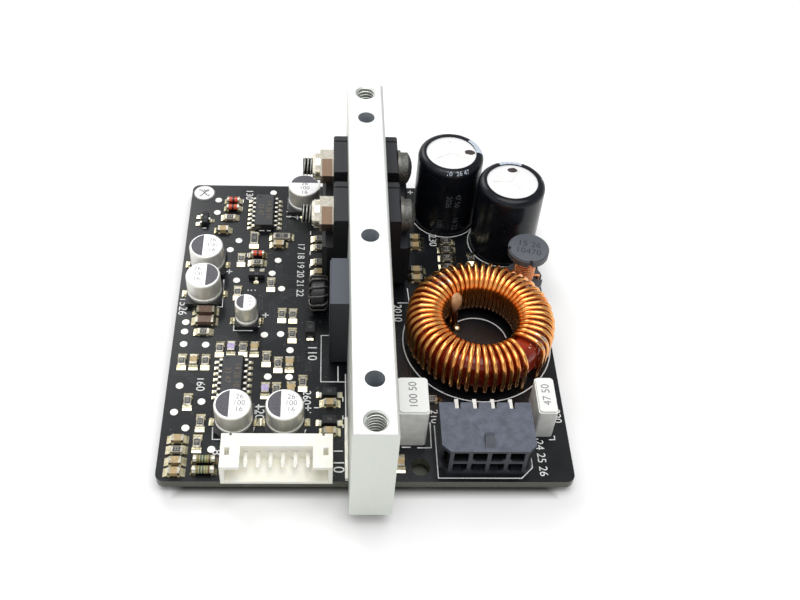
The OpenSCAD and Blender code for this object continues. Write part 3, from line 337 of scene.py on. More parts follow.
# %% Cans
# Drawn cans: a satin lid whose white top is painted light from above, and walls with faint upright lines from
# the drawing die.
can = finish("drawn_can_aluminium", "#e4e3da", "#f3f2eb", 3, (0.36, 0.46), top="#ffffff", Metallic=1)
lid = add(can.tree, "ShaderNodeMapRange", {0: facing(can.tree)["Z"], 1: 0.6, 2: 0.95})
shine = add(can.tree, "ShaderNodeMix", {0: lid, 2: 0.65, 3: 0.35})
feed(can.tree, can.shader.inputs["Metallic"], shine)
stretched = add(can.tree, "ShaderNodeVectorMath", {0: can.mm, 1: (9, 9, 0.4)}, operation="MULTIPLY")
draw_lines = add(can.tree, "ShaderNodeTexNoise", {"Vector": stretched, "Scale": 1, "Detail": 2})
depth = add(can.tree, "ShaderNodeMix", {0: lid, 2: 0.5, 3: 0.0})
relief = add(can.tree, "ShaderNodeBump", {"Height": draw_lines, "Strength": depth, "Distance": 0.00002})
feed(can.tree, can.shader.inputs["Normal"], relief)
dress(can, "board_cans", "bulk_cans")

# %% Fasteners
# Bright zinc: silver on top; the tan brown on faces towards the front is a painted reflection of something
# warm beside the camera.
zinc = finish("bright_zinc_on_steel", "#dfd9c8", "#f4efe0", 0.8, (0.18, 0.28), 0.002, Metallic=1)
warm_reflection_share = add(zinc.tree, "ShaderNodeMapRange", {0: facing(zinc.tree)["Y"], 1: -0.35, 2: -0.8})
nut_low, nut_high = box_mm("clamp_nuts")
hexagon_x, hexagon_half = nut_high.x - 1.2, 0.95
# Painted reflection: tan brown on the hexagon's faces that point to the front.
cover(zinc, "#b3967f", warm_reflection_share, X=(hexagon_x, hexagon_half))
dress(zinc, "clamp_nuts")
# Blackened steel, rubbed: a dull, mottled grey without clear reflections, still black between the threads.
dark_steel = finish("blackened_steel", "#4b4b49", "#7e7e7b", 0.45, (0.5, 0.65), 0.015, Metallic=1)
tip = add(dark_steel.tree, "ShaderNodeMapRange", {
    0: dark_steel.at["X"], 1: nut_low.x + 0.1, 2: nut_low.x - 0.1})
cover(dark_steel, "#161615", tip)
dress(dark_steel, "clamp_bolts")
# Plain washers, dulled by handling.
dress(finish("dull_washer_steel", "#5c5a56", "#7d7a74", 0.6, (0.4, 0.55), 0.006, Metallic=1), "clamp_washers")

# %% Tin and solder
# Tin plate: bright and smooth, a shade warmer than steel.
tinned = finish("tinned_copper", "#d6d3c8", "#eceae1", 2.5, (0.26, 0.36), Metallic=1)
dress(tinned, "earth_strip", "transistor_leads", "resistor_leads", "bulk_leads", "film_leads", "ic_leads",
      "small_leads", "diode_tabs")
# Header pins: whiter and less of a mirror than the leads, a painted reflection of the white room.
dress(finish("dipped_tin", "#ecebe4", "#fbfaf5", 2, (0.3, 0.4), Metallic=0.55), "power_pins", "signal_pins")
# Solder: yellowish white, with soft ripples from setting.
solder = finish("bright_solder", "#c2b791", "#e5dec3", 0.6, (0.14, 0.3), 0.026, Metallic=1)
dress(solder, "solder_lands", "solder_joints", "can_tabs")
# Chip ends: tin over nickel, greyer than solder.
dress(finish("plated_ends", "#a9a596", "#cdc9bc", 0.6, (0.2, 0.32), 0.006, Metallic=1), "chip_ends",
      "melf_ends")
# Test points are flat pools of tin that look plain white from this side; that white, with little metal, is a
# painted reflection.
dress(finish("tin_pool", "#f1efe6", "#fdfcf7", 1.2, (0.4, 0.5), 0.004, Metallic=0.4), "test_points")

# %% [markdown]
# ## Moulded and painted parts
# Transistors and circuits are moulded in black epoxy that is filled with quartz, which makes them a dull
# charcoal. The headers are nylon, the film capacitors are cast in white boxes, the shrink sleeves are glossy
# vinyl, and the ring core wears a dark red lacquer. Most tops are paler: partly dust, partly painted light
# from overhead.

# %% Black epoxy, vinyl and ferrite
# Quartz-filled epoxy: dull and nearly black on its sides; its paler top, as on the epoxy parts below, is dust
# with painted light from above.
dress(finish("transistor_epoxy", "#0d0e10", "#151618", 0.25, (0.42, 0.58), 0.01, top="#2a2c30", specks=3,
             Specular_IOR_Level=0.36), "power_transistors")
dress(finish("resistor_epoxy", "#26282d", "#32353b", 0.25, (0.4, 0.55), 0.01, top="#4c505a", specks=4),
      "power_resistor")
dress(finish("circuit_epoxy", "#17181a", "#212225", 0.2, (0.42, 0.6), 0.008, top="#303236"), "ic_bodies")
dress(finish("small_part_epoxy", "#121315", "#1b1c1f", 0.2, (0.45, 0.6), 0.008, top="#191a1d",
             Specular_IOR_Level=0.34), "small_transistors", "small_diodes")
# Shrink sleeve: deep black with a soft sheen and a little dust.
dress(finish("shrink_sleeve_vinyl", "#0f1217", "#181b22", 3, (0.18, 0.28), 0.006, specks=3.2,
             Specular_IOR_Level=0.24), "bulk_sleeves")
# Ferrite: dull grey ceramic, glazed a little darker on the small ring; the drum's paler top is painted light
# from above.
dress(finish("drum_ferrite", "#3d4046", "#52565d", 0.3, (0.4, 0.55), 0.01, top="#5c6067"), "drum_core")
dress(finish("ring_ferrite", "#202022", "#333336", 0.3, (0.3, 0.45), 0.01), "ring_core")
# Base plastic: black and plain, a little smoother than epoxy.
dress(finish("base_plastic", "#141518", "#1f2023", 0.4, (0.35, 0.5), 0.006), "can_bases")

# %% Core lacquer and dried glue
glue_places = (((29.9, -11.5, 11.4), 3.2), ((14.1, 1.4, 12.2), 3.0), ((28.3, -15.7, 6.5), 2.6))


def smear(look):
    """Dried glue, left in patches on the choke: pale scraps that thin out away from three places."""
    scraps = add(look.tree, "ShaderNodeTexNoise", {"Vector": look.mm, "Scale": 1.6, "Detail": 5})
    for place, reach in glue_places:
        away = add(look.tree, "ShaderNodeVectorMath", {0: look.mm, 1: place}, operation="DISTANCE")
        amount = add(look.tree, "ShaderNodeMapRange", {0: away, 1: 0, 2: reach, 3: 0.56, 4: 0.25})
        patch = add(look.tree, "ShaderNodeMath", {0: scraps, 1: amount}, operation="LESS_THAN")
        cover(look, "#d8c6ad", patch)


# Core lacquer: a thick red brown coat, wet looking, with runs under the wire and scraps of dried glue.
lacquer = finish("red_core_lacquer", "#6c1a0a", "#9c3017", 1.5, (0.08, 0.2), 0.05, Specular_IOR_Level=0.4)
smear(lacquer)
dress(lacquer, "choke_core")

# %% Slate nylon
# Slate nylon: dark blue grey with specks of dust, dark on its front; its paler top is dust with a painted
# highlight of the overhead light, and the inside of the windows is painted shade.
slate = finish("slate_nylon", "#24272e", "#30343c", 0.8, (0.4, 0.55), 0.006, specks=3)
low, high = box_mm("power_header")
height = slate.at["Z"]
level_face = add(slate.tree, "ShaderNodeMapRange", {0: facing(slate.tree)["Z"], 1: 0.3, 2: 0.9})
outside = add(slate.tree, "ShaderNodeMapRange", {0: height, 1: high.z - 2.6, 2: high.z - 1.8})
latch = add(slate.tree, "ShaderNodeMapRange", {0: height, 1: high.z - 0.95, 2: high.z - 0.8, 3: 1.0, 4: 0.25})
pale = add(slate.tree, "ShaderNodeTexNoise", {
    "Vector": slate.mm, "Scale": 0.7, "Detail": 8, "Roughness": 0.7})
pale = add(slate.tree, "ShaderNodeMapRange", {0: pale, 1: 0.35, 2: 0.65})
# Dust and a painted highlight of the overhead light on upward faces near the top, weaker on the latch at the
# very top.
dust_and_highlight = add(slate.tree, "ShaderNodeMix", {0: pale, 6: "#484d5a", 7: "#626876"}, data_type="RGBA")
cover(slate, dust_and_highlight, level_face, outside, latch)
# Painted shade: walls well inside the block belong to the windows, where hardly any light comes back out, so
# they are near black.
low += Vector((0.5, 0.35, 0.7))
high -= Vector((0.5, 0.35, 1.9))
middle, half = (low + high) / 2, (high - low) / 2
cover(slate, "#0b0c0f", X=(middle.x, half.x), Y=(middle.y, half.y), Z=(middle.z, half.z))
dress(slate, "power_header")

# %% Ivory nylon, cast boxes, ceramic and paper
# Ivory nylon lets a little light in, so its edges look soft and warm.
dress(finish("ivory_nylon", "#fdfaeb", "#fffef4", 1.5, (0.35, 0.5), 0.003, Subsurface_Weight=0.4,
             Subsurface_Radius=(0.0016, 0.0014, 0.001)), "signal_header")
# Cast boxes: white and slightly satin; their paler top against greyer sides is painted light from above.
dress(finish("cast_film_box", "#d6d7d2", "#e6e7e3", 1.2, (0.38, 0.5), 0.003, top="#f1f2ef", IOR=1.46),
      "film_box_large", "film_box_small")
# Fired ceramic chips: even, slightly glossy, each mix of oxides in its own colour.
dress(finish("tan_ceramic", "#a68d62", "#c4ad80", 0.6, (0.3, 0.45), 0.003), "chip_capacitors_tan")
dress(finish("brown_ceramic", "#634e43", "#7e6758", 0.6, (0.3, 0.45), 0.003), "chip_capacitors_brown")
dress(finish("violet_ceramic", "#a596c6", "#c2b7d8", 0.6, (0.3, 0.45), 0.003), "chip_capacitors_violet")
# Sticker paper: plain matt white.
dress(finish("sticker_paper", "#eeeeec", "#f9f9f8", 0.5, (0.6, 0.75), 0.004), "inspection_dot")

# %% [markdown]
# ## Parts with a pattern of their own
# The glass diodes show a dark chip in the middle of an orange body, and the round resistors carry colour
# bands. Both follow the place along X, measured from the middle of each part. The middles are measured on the
# construction model itself: solids that share a node are told apart by walking along their edges.

# %% Glass diodes and banded resistors
def solids_of(name):
    """The separate solids of a node, each as its lowest and highest corner in millimetres."""
    shape = bmesh.new()
    shape.from_mesh(nodes[name].data)
    bmesh.ops.remove_doubles(shape, verts=shape.verts, dist=1e-6)
    left, boxes = set(shape.verts), []
    while left:
        group, fresh = [], {left.pop()}
        while fresh:
            group += fresh
            fresh = {edge.other_vert(corner) for corner in fresh for edge in corner.link_edges} & left
            left -= fresh
        boxes.append([Vector(pick(v.co[k] * 1000 for v in group) for k in range(3)) for pick in (min, max)])
    shape.free()
    return sorted(boxes, key=lambda box: (round(box[0].x, 2), round(box[0].y, 2)))


def bands(look, name, marks):
    """Rings round parts that lie along X: each mark is a place from the middle, half a width and a colour."""
    for middle in sorted({round((low.x + high.x) / 2, 2) for low, high in solids_of(name)}):
        for place, half, code in marks:
            cover(look, code, X=(middle + place, half))
    dress(look, name)


# Clear glass over an orange sealing: wet and bright.
diode_glass = finish("diode_glass", "#c23a1c", "#e2603c", 0.5, (0.06, 0.15), IOR=1.52)
bands(diode_glass, "glass_diodes", [(0, 0.2, "#3a2320")])
# Sand coloured lacquer with five painted rings.
banded_lacquer = finish("banded_lacquer", "#8c9168", "#a2a87e", 0.6, (0.2, 0.35), 0.006)
ring_colours = ("#7a5a2a", "#2f3d2a", "#3d4a30", "#8a7a3a", "#5c2c1e")
bands(banded_lacquer, "film_resistors", [(0.45 * (k - 2), 0.12, code) for k, code in enumerate(ring_colours)])

# %% [markdown]
# ## A tree for wire
# Wire is a circle carried along a path. The path comes from a rule, as points joined by edges; the node tree
# turns them into a curve, sweeps a round section along it and sets the finish. A number kept on each point,
# the tone of its turn together with painted shade, goes through to the surface, so that neighbouring turns
# don't look alike.

# %% Tools that run a tree
def start_tree(name, **inputs):
    """A geometry tree with named inputs; returns it with its input node's outputs."""
    tree = bpy.data.node_groups.new(name, "GeometryNodeTree")
    tree.interface.new_socket("Geometry", in_out="INPUT", socket_type="NodeSocketGeometry")
    for label, kind in inputs.items():
        tree.interface.new_socket(label.replace("_", " "), in_out="INPUT", socket_type="NodeSocket" + kind)
    tree.interface.new_socket("Geometry", in_out="OUTPUT", socket_type="NodeSocketGeometry")
    return tree, add(tree, "NodeGroupInput").outputs


def end_tree(tree, shape, material, smooth=True):
    """Every tree ends alike: real mesh instead of instances, smooth or flat faces and the finish."""
    real = add(tree, "GeometryNodeRealizeInstances", {0: shape})
    shaded = add(tree, "GeometryNodeSetShadeSmooth", {0: real, "Shade Smooth": smooth})
    painted = add(tree, "GeometryNodeSetMaterial", {"Geometry": shaded, "Material": material})
    add(tree, "NodeGroupOutput", {0: painted})
    print("tree", tree.name, len(tree.nodes), "nodes")


def keep(name, mesh):
    """Makes a mesh a piece that rides on the module."""
    piece = put(name, mesh)
    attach(piece, "root")
    print(name, len(mesh.polygons), "faces")
    return piece


def grow(name, tree, points, edges=(), slot=None, fields=None, **values):
    """Runs a tree on points in millimetres and keeps the result as a plain mesh."""
    mesh = bpy.data.meshes.new(name)
    mesh.from_pydata([Vector(p) / 1000 for p in points], edges, [])
    for label, held in (fields or {}).items():
        mesh.attributes.new(label, "FLOAT", "POINT").data.foreach_set("value", held)
    carrier = put(name, mesh)
    modifier = carrier.modifiers.new(name, "NODES")
    modifier.node_group = tree
    for socket in tree.interface.items_tree:
        label = socket.name.replace(" ", "_")
        if socket.in_out == "INPUT" and label in values:
            modifier[socket.identifier] = values[label]
    view = bpy.context.evaluated_depsgraph_get()
    grown = carrier.evaluated_get(view)
    made = bpy.data.meshes.new_from_object(grown, preserve_all_data_layers=True, depsgraph=view)
    bpy.data.objects.remove(carrier)
    bpy.data.meshes.remove(mesh)
    made.name = name
    return keep(name, made)


def chain(count, first=0):
    """Edges that join that many points in a row."""
    return [(first + i, first + i + 1) for i in range(count - 1)]


print("a path of four points has the edges", chain(4))

# %% Wire tree
wire_tree, given = start_tree("round_wire", Wire_radius="Float", Sides="Int", Finish="Material")
line = add(wire_tree, "GeometryNodeMeshToCurve", {0: given["Geometry"]})
section = add(wire_tree, "GeometryNodeCurvePrimitiveCircle", {
    "Resolution": given["Sides"], "Radius": given["Wire radius"]})
tube = add(wire_tree, "GeometryNodeCurveToMesh", {"Curve": line, "Profile Curve": section, "Fill Caps": True})
end_tree(wire_tree, tube, given["Finish"])

# %% [markdown]
# ## Enamelled copper
# Winding wire is copper under a clear amber varnish. The copper gives coloured reflections, gold where the
# light strikes and brown in the shade, and the varnish adds a thin white gloss. A tint moves it from orange
# to brown: a little from turn to turn, and, as painted shade, more towards the foot of each turn and most on
# the wall inside the ring, where hardly any light gets in.

# %% Enamelled copper
# Gold in the light and deep brown in the shade, glossy all along.
enamel = finish("enamelled_copper", "#ff9a3e", "#ffc06c", 2.5, (0.18, 0.25), Metallic=0.95, Coat_Weight=0.75,
                Coat_Roughness=0.1)
tint = add(enamel.tree, "ShaderNodeAttribute", attribute_name="tint")
# Painted shade with the tone of each turn: the attribute moves the copper towards brown.
cover(enamel, "#6e3410", tint.outputs["Fac"])
smear(enamel)
# Copper with hardly any varnish: pink, and less of a gloss.
bare = finish("drum_copper", "#d98350", "#f5aa78", 1.2, (0.22, 0.3), Metallic=0.95, Coat_Weight=0.3)
dress(bare, "drum_leads")
print(enamel.material.name, "for the ring choke")

# %% [markdown]
# ## Ring choke
# The choke is the piece that the eye goes to: two half windings of 25 turns each, wound by hand round a ring
# core. Each turn runs up inside the ring, over the top, down outside and back underneath, round corners of
# the core's own radius. The pitch leans every turn, the turns crowd inside and spread outside, and a fixed
# seed shifts each one a little, as a hand does. The first turns lean towards each other, and the last ones do
# so on the inside, where the two halves meet. Thick wire doesn't hug a core, so it stands off a third of a
# millimetre outside and on top. The ends run down through the board.

# %% Rules for a turn
def ring_turn(inner, outer, tall, corner, wrap, steps):
    """Points of one turn as (radius, height), from the inside up, with that many steps to a corner."""
    corners = ((inner + corner, tall - corner, 180), (outer - corner, tall - corner, 90),
               (outer - corner, corner, 0), (inner + corner, corner, -90))
    ways = [(r, z, math.radians(a - 90 * i / steps)) for r, z, a in corners for i in range(steps + 1)]
    return [(r + wrap * math.cos(a), z + wrap * math.sin(a)) for r, z, a in ways]


def round_about(radius, angle, z):
    """A point at a radius and an angle in degrees."""
    return Vector((radius * math.cos(math.radians(angle)), radius * math.sin(math.radians(angle)), z))


def clamp(value):
    """The value, kept between 0 and 1."""
    return max(0, min(1, value))


hand = random.Random(7)
core_inner, core_outer, core_tall, core_corner, off_core = 7.15, 12, 7, 2.0, 0.415
turn = ring_turn(core_inner, core_outer, core_tall, core_corner, core_corner + off_core, steps=7)
print("one turn has", len(turn), "points")

# %% Ring choke
core_lift = 1.017
choke_mid = Vector((20.4, -5.05, board_high.z + core_lift))
count, arc = 25, 167
lead_in = ((6.1, -4.1), (6.1, 1.4), (6.3, 2.1), (6.6, 2.8))
# The last turn stops low on the outside, and from there the wire's end runs straight down.
last_turn = turn[:19]
points, edges, tones_and_shades = [], [], []
for start, way in ((126, -1), (139, 1)):
    first = len(points)
    path = [round_about(r, start, z) for r, z in lead_in]
    tint = [0.5] * len(path)
    shifts = [hand.uniform(-0.9, 0.9) for _ in range(count + 1)]
    shades = [hand.uniform(0, 0.12) for _ in range(count + 1)]
    for n in range(count):
        for i, (r, z) in enumerate(turn if n < count - 1 else last_turn):
            part = i / len(turn)
            done = n + part
            out = clamp((r - 8) / 4)
            lean = way * arc / count * done + out * ((1 - part) * shifts[n] + part * shifts[n + 1])
            # The first four turns lean back on the outside, and the first three do so on the inside.
            lean -= way * (5.5 * out * max(0, 1 - done / 4) + 2.8 * (1 - out) * max(0, 1 - done / 3))
            # The last five lean on, on the inside.
            lean += way * 5.5 * (1 - out) * max(0, (done - 20) / 5)
            stand_off = 0.3 * out + 0.05 * out * math.sin(3 * n) - 0.08 * (1 - out)
            lifted = z + 0.3 * max(0, (z - 4) / 3.4)
            path.append(round_about(r + stand_off, start + lean, lifted))
            # Painted shade: darker towards the foot, a little on the outside, and more on the wall inside the
            # ring.
            deep = clamp((6.5 - z) / 4)
            tint.append(min(1, shades[n] + (0.3 * out + 0.7 * clamp(8 - r)) * deep))
    path.append(Vector((path[-1].x, path[-1].y, lead_in[0][1])))
    tint.append(0.5)
    points += [p + choke_mid for p in path]
    edges += chain(len(path), first)
    tones_and_shades += tint
choke = grow("choke_wire", wire_tree, points, edges, "enamelled_copper", {"tint": tones_and_shades}, Wire_radius=0.0004,
             Sides=12, Finish=enamel.material)
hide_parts("choke_winding")

# %% [markdown]
# ## Glue and solder inside the choke
# A drop of pale glue holds the wire's ends against the inner wall, dark resin has run down below it, and a
# bead of solder sits on the board. Drops are skins over rows of ovals, worked out from a few heights.

# %% Glue and solder inside the choke
def piece_of(name, shapes, look, smooth=False):
    """One mesh of many flat or bent shapes, each a list of points in mm and a list of faces."""
    points, faces = [], []
    for corners, sides in shapes:
        faces += [[len(points) + k for k in side] for side in sides]
        points += [Vector(c) / 1000 for c in corners]
    mesh = bpy.data.meshes.new(name)
    mesh.from_pydata(points, [], faces)
    mesh.polygons.foreach_set("use_smooth", [smooth] * len(faces))
    mesh.materials.append(look.material)
    keep(name, mesh)


def drop(rows, angle, sides=14):
    """A closed skin over ovals about the choke's axis: radius, height, half depth and half width of each."""
    outward, along = round_about(1, angle, 0), round_about(1, angle + 90, 0)
    ring = [round_about(1, 360 * i / sides, 0) for i in range(sides)]
    corners = [choke_mid + outward * (r + deep * spot.x) + along * wide * spot.y + Vector((0, 0, z))
               for r, z, deep, wide in rows for spot in ring]
    faces = [list(range(sides))[::-1], [sides * (len(rows) - 1) + i for i in range(sides)]]
    neighbours = [(i, (i + 1) % sides) for i in range(sides)]
    for k in range(len(rows) - 1):
        here, above = sides * k, sides * (k + 1)
        faces += [[here + i, here + j, above + j, above + i] for i, j in neighbours]
    return corners, faces


# Hot glue: cloudy beige, with a soft shine.
glue = finish("cloudy_glue", "#b98a60", "#d4ad85", 0.9, (0.2, 0.35), 0.01, Subsurface_Weight=0.2,
              Subsurface_Radius=(0.0008, 0.0005, 0.0003))
glue_rows = ((5.95, 2.6, 0.2, 0.25), (5.9, 2.9, 0.5, 0.6), (5.8, 3.6, 0.65, 0.95), (5.8, 4.5, 0.7, 1.2),
             (5.95, 5.4, 0.65, 1.25), (6.2, 6.1, 0.5, 1.0), (6.4, 6.5, 0.25, 0.5))
piece_of("glue_drop", [drop(glue_rows, 131)], glue, smooth=True)
# Varnish that ran down and set: dark amber, wet looking.
resin = finish("amber_resin", "#2c1409", "#4a2410", 0.8, (0.1, 0.2), 0.01)
resin_rows = ((5.2, -1.0, 0.7, 0.55), (5.3, -0.4, 0.6, 0.5), (5.6, 0.8, 0.5, 0.5), (5.8, 2.0, 0.45, 0.55),
              (5.9, 3.0, 0.4, 0.6))
piece_of("resin_run", [drop(resin_rows, 133)], resin, smooth=True)
bead_rows = [(4.5, z, half, half) for z, half in ((-1.03, 0.95), (-0.7, 0.9), (-0.3, 0.66), (-0.1, 0.3))]
piece_of("solder_bead", [drop(bead_rows, 139)], solder, smooth=True)

# %% [markdown]
# ## Drum choke
# The drum has one layer of thin wire, close wound on its post. Its path is a plain screw line of twelve and a
# half turns between the two flanges, and the wire tree does the rest.

# %% Drum choke
low, high = solids_of("drum_winding")[0]
drum_mid, wire, drum_turns, steps = (low + high) / 2, 0.2, 12.5, 24
rise = (high.z - low.z - 2 * wire) / drum_turns
foot = low.z - drum_mid.z + wire
points = [drum_mid + round_about(high.x - drum_mid.x - wire, 360 * i / steps, foot + rise * i / steps)
          for i in range(int(drum_turns * steps) + 1)]
drum = grow("drum_wire", wire_tree, points, chain(len(points)), "drum_copper", Wire_radius=wire / 1000,
            Sides=12, Finish=bare.material)
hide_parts("drum_winding")

# %% [markdown]
# ## Small upright ring
# Left of the bar a small ferrite ring stands on edge with nine turns of dark wire. The same rule makes its
# path; the ring is only turned so that its axis lies along X.

# %% Small upright ring
# Dark enamel: nearly black, with a gloss along each turn.
ring_wire = finish("dark_wire_enamel", "#1b1a19", "#312e2b", 0.5, (0.2, 0.35), 0.004, Coat_Weight=0.5)
low, high = box_mm("ring_core")
ring_mid = (low + high) / 2
ring_inner, ring_outer, ring_tall, ring_corner, off_ring = 1.3, 2.9, 2.6, 0.4, 0.28
turn = ring_turn(ring_inner, ring_outer, ring_tall, ring_corner, ring_corner + off_ring, steps=3)
# The wire starts and ends on the outside of the ring, and both ends run straight down.
turn = turn[4:] + turn[:4]
turns, arc, start, end_down = 9, 290, 35, 6.0
path = [round_about(r, start + arc / turns * (n + i / len(turn)), z)
        for n in range(turns) for i, (r, z) in enumerate(turn)]
path.append(round_about(turn[0][0], start + arc, turn[0][1]))
path = [Vector((end_down, path[0].y, path[0].z))] + path + [Vector((end_down, path[-1].y, path[-1].z))]
points = [ring_mid + Vector((p.z - ring_tall / 2, p.y, -p.x)) for p in path]
ring = grow("ring_wire", wire_tree, points, chain(len(points)), "ring_wire", Wire_radius=0.00025, Sides=10,
            Finish=ring_wire.material)
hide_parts("ring_winding")

# %% [markdown]
# ## Threads
# A thread is a ridge on a spiral. One tree sweeps a small five-cornered section along a spiral and sets a
# copy at each point: upright in the two tapped holes of the bar, and lying along X on the ends of the bolts.

# %% Thread tree
thread_tree, given = start_tree("thread", Radius="Float", Ridge="Float", Pitch="Float", Turns="Float",
                                Tilt="Rotation", Finish="Material")
long = add(thread_tree, "ShaderNodeMath", {0: given["Pitch"], 1: given["Turns"]}, operation="MULTIPLY")
spiral = add(thread_tree, "GeometryNodeCurveSpiral", {
    "Resolution": 28, "Rotations": given["Turns"], "Start Radius": given["Radius"],
    "End Radius": given["Radius"], "Height": long})
section = add(thread_tree, "GeometryNodeCurvePrimitiveCircle", {"Resolution": 5, "Radius": given["Ridge"]})
ridge = add(thread_tree, "GeometryNodeCurveToMesh", {
    "Curve": spiral, "Profile Curve": section, "Fill Caps": True})
copies = add(thread_tree, "GeometryNodeInstanceOnPoints", {
    "Points": given["Geometry"], "Instance": ridge, "Rotation": given["Tilt"]})
end_tree(thread_tree, copies, given["Finish"])

# %% Threads in the bar and on the bolts
from_end, thread_deep = 2.3, 12.1
points = [(bar_mid.x, y, bar_high.z - thread_deep) for y in (bar_low.y + from_end, bar_high.y - from_end)]
grow("tap_threads", thread_tree, points, slot="anodised_aluminium", Radius=0.0017, Ridge=0.0002, Pitch=0.0007,
     Turns=16.6, Tilt=(0, 0, 0), Finish=anodised.material)
# Rubbed crests: the same steel worn bright.
crests = finish("rubbed_steel", "#8a8a87", "#b0b0ac", 0.5, (0.35, 0.5), 0.004, Metallic=1)
points = [(low.x + 0.05, (low.y + high.y) / 2, (low.z + high.z) / 2)
          for low, high in solids_of("clamp_bolts")]
grow("bolt_threads", thread_tree, points, slot="dark_steel", Radius=0.00152, Ridge=0.00017, Pitch=0.0006,
     Turns=3.4, Tilt=(0, math.pi / 2, 0), Finish=crests.material)

# %% [markdown]
# ## Print on the board
# The white legend is screen printed: thin ribbons of ink a fifth of a millimetre wide that frame the parts.
# A ribbon is a flat rectangle carried along a path, with its width kept level, so a second tree does that for
# every line at once. Circles are paths too. Places are given from the board's front left corner.

# %% Ribbon tree and paths
ribbon_tree, given = start_tree("ribbon", Width="Float", Thickness="Float", Finish="Material")
line = add(ribbon_tree, "GeometryNodeMeshToCurve", {0: given["Geometry"]})
level_line = add(ribbon_tree, "GeometryNodeSetCurveNormal", {0: line}, mode="Z_UP")
section = add(ribbon_tree, "GeometryNodeCurvePrimitiveQuadrilateral", {
    "Width": given["Width"], "Height": given["Thickness"]})
band = add(ribbon_tree, "GeometryNodeCurveToMesh", {
    "Curve": level_line, "Profile Curve": section, "Fill Caps": True})
end_tree(ribbon_tree, band, given["Finish"], smooth=False)


def on_board(x, y, up=0.0):
    """A place given from the board's front left corner, on its top face."""
    return board_low.x + x, board_low.y + y, board_high.z + up


def strokes(paths, up):
    """Points and edges of many paths at once, that far above the board."""
    points, edges = [], []
    for path in paths:
        edges += chain(len(path), len(points))
        points += [on_board(x, y, up) for x, y in path]
    return points, edges


def arc_of(x, y, radius, start=0, stop=360, steps=72):
    """A path round a middle, in degrees."""
    spots = [round_about(radius, start + (stop - start) * i / steps, 0) for i in range(steps + 1)]
    return [(x + spot.x, y + spot.y) for spot in spots]


def cross(x, y, size=0.55):
    """A plus sign."""
    return [[(x - size, y), (x + size, y)], [(x, y - size), (x, y + size)]]


# %% Printed lines
# Legend ink: white, matt, a little uneven.
ink = finish("legend_ink", "#dcdedd", "#f2f3f2", 0.3, (0.45, 0.6), 0.004)
legend = [
    [(7.3, 45.0), (8.1, 45.7)], [(8.0, 43.8), (8.2, 37.0), (3.2, 37.0), (1.4, 38.6)],
    [(10.6, 32.6), (10.6, 31.4), (13.9, 31.4), (15.3, 32.5)], [(19.5, 66.7), (19.5, 63.3), (21.1, 61.4)],
    [(10.4, 65.9), (10.4, 64.9)], [(10.3, 63.7), (10.3, 62.7)], [(12.1, 50.8), (12.1, 49.8)],
    [(2.9, 57.5), (3.6, 57.5)], [(14.0, 57.0), (15.0, 57.0)], [(15.5, 57.0), (16.3, 57.0)],
    [(12.7, 46.6), (13.5, 46.6)], [(14.7, 46.6), (15.5, 46.6)], [(20.8, 29.1), (21.6, 29.1)],
    [(24.1, 57.0), (24.1, 56.0)], [(24.1, 51.5), (24.1, 50.5)], [(24.1, 48.1), (24.1, 47.1)],
    [(28.0, 30.4), (26.4, 30.4), (26.4, 20.0), (30.9, 20.0)], [(30.7, 21.7), (30.7, 8.3)],
    [(29.4, 23.4), (29.4, 20.1)], [(30.2, 16.8), (30.2, 15.8)], [(30.2, 12.9), (30.2, 12.1)],
    [(30.2, 11.1), (30.2, 10.4)], [(8.5, 10.4), (8.6, 8.0), (9.9, 8.0)], [(15.4, 10.5), (15.1, 9.0)],
    [(24.0, 10.1), (23.7, 9.0)], [(15.3, 14.0), (15.3, 13.1)], [(25.3, 14.5), (26.1, 14.5)],
    [(30.5, 0.3), (31.0, 0.3)], [(45.6, 11.0), (45.6, 0.7), (59.2, 0.7), (61.2, 2.7), (61.2, 11.0)],
    [(44.9, 11.6), (44.8, 6.5), (42.5, 6.5)], [(41.4, 6.6), (39.9, 6.6)], [(62.0, 8.3), (62.9, 8.3)],
    [(64.7, 8.2), (65.7, 8.2), (65.7, 9.0)], [(42.5, 42.1), (42.7, 38.4), (40.5, 38.4)],
    arc_of(54.4, 29.2, 13.3), arc_of(54.4, 29.2, 5.6, 10, 128, 30), arc_of(50.8, 62.4, 6.6),
    arc_of(61.6, 54.5, 6.6),
]
for x, y in ((8.9, 45.9), (16.2, 35.1), (21.4, 60.9), (15.9, 14.6), (24.3, 14.4), (44.4, 68.7)):
    legend += cross(x, y)
for x, y in ((12.7, 41.2), (13.3, 41.2), (14.0, 41.2), (24.7, 13.5)):
    legend.append([(x - 0.12, y), (x + 0.12, y)])
points, edges = strokes(legend, up=0.011)
grow("board_legend", ribbon_tree, points, edges, Width=0.0002, Thickness=0.00002, Finish=ink.material)

# %% [markdown]
# ## Pen marks on the sticker
# The round paper sticker has a dark rim and a quick loop in pen. Both are ribbons as well, in a darker ink.

# %% Pen marks on the sticker
# Pen ink: nearly black, with a slight shine where it dried thick.
pen = finish("pen_ink", "#121317", "#202127", 0.3, (0.35, 0.5), 0.002)
dot_x, dot_y = 2.4, 67.6
loop = [(-1.1, 0.75), (-0.6, 0.75), (0, 0.1), (0.45, -0.55), (0.9, -0.85), (1.15, -0.6)]
back_loop = [(-0.85, -1.0), (-0.5, -0.75), (0, -0.05), (0.4, 0.7), (0.75, 0.95), (0.85, 0.6), (0.5, 0.45),
             (0.1, 0.6), (-0.15, 0.9)]
marks = [[(dot_x + x, dot_y + y) for x, y in path] for path in (loop, back_loop)]
points, edges = strokes([arc_of(dot_x, dot_y, 2.1)] + marks, up=0.132)
grow("sticker_pen", ribbon_tree, points, edges, Width=0.00018, Thickness=0.00002, Finish=pen.material)

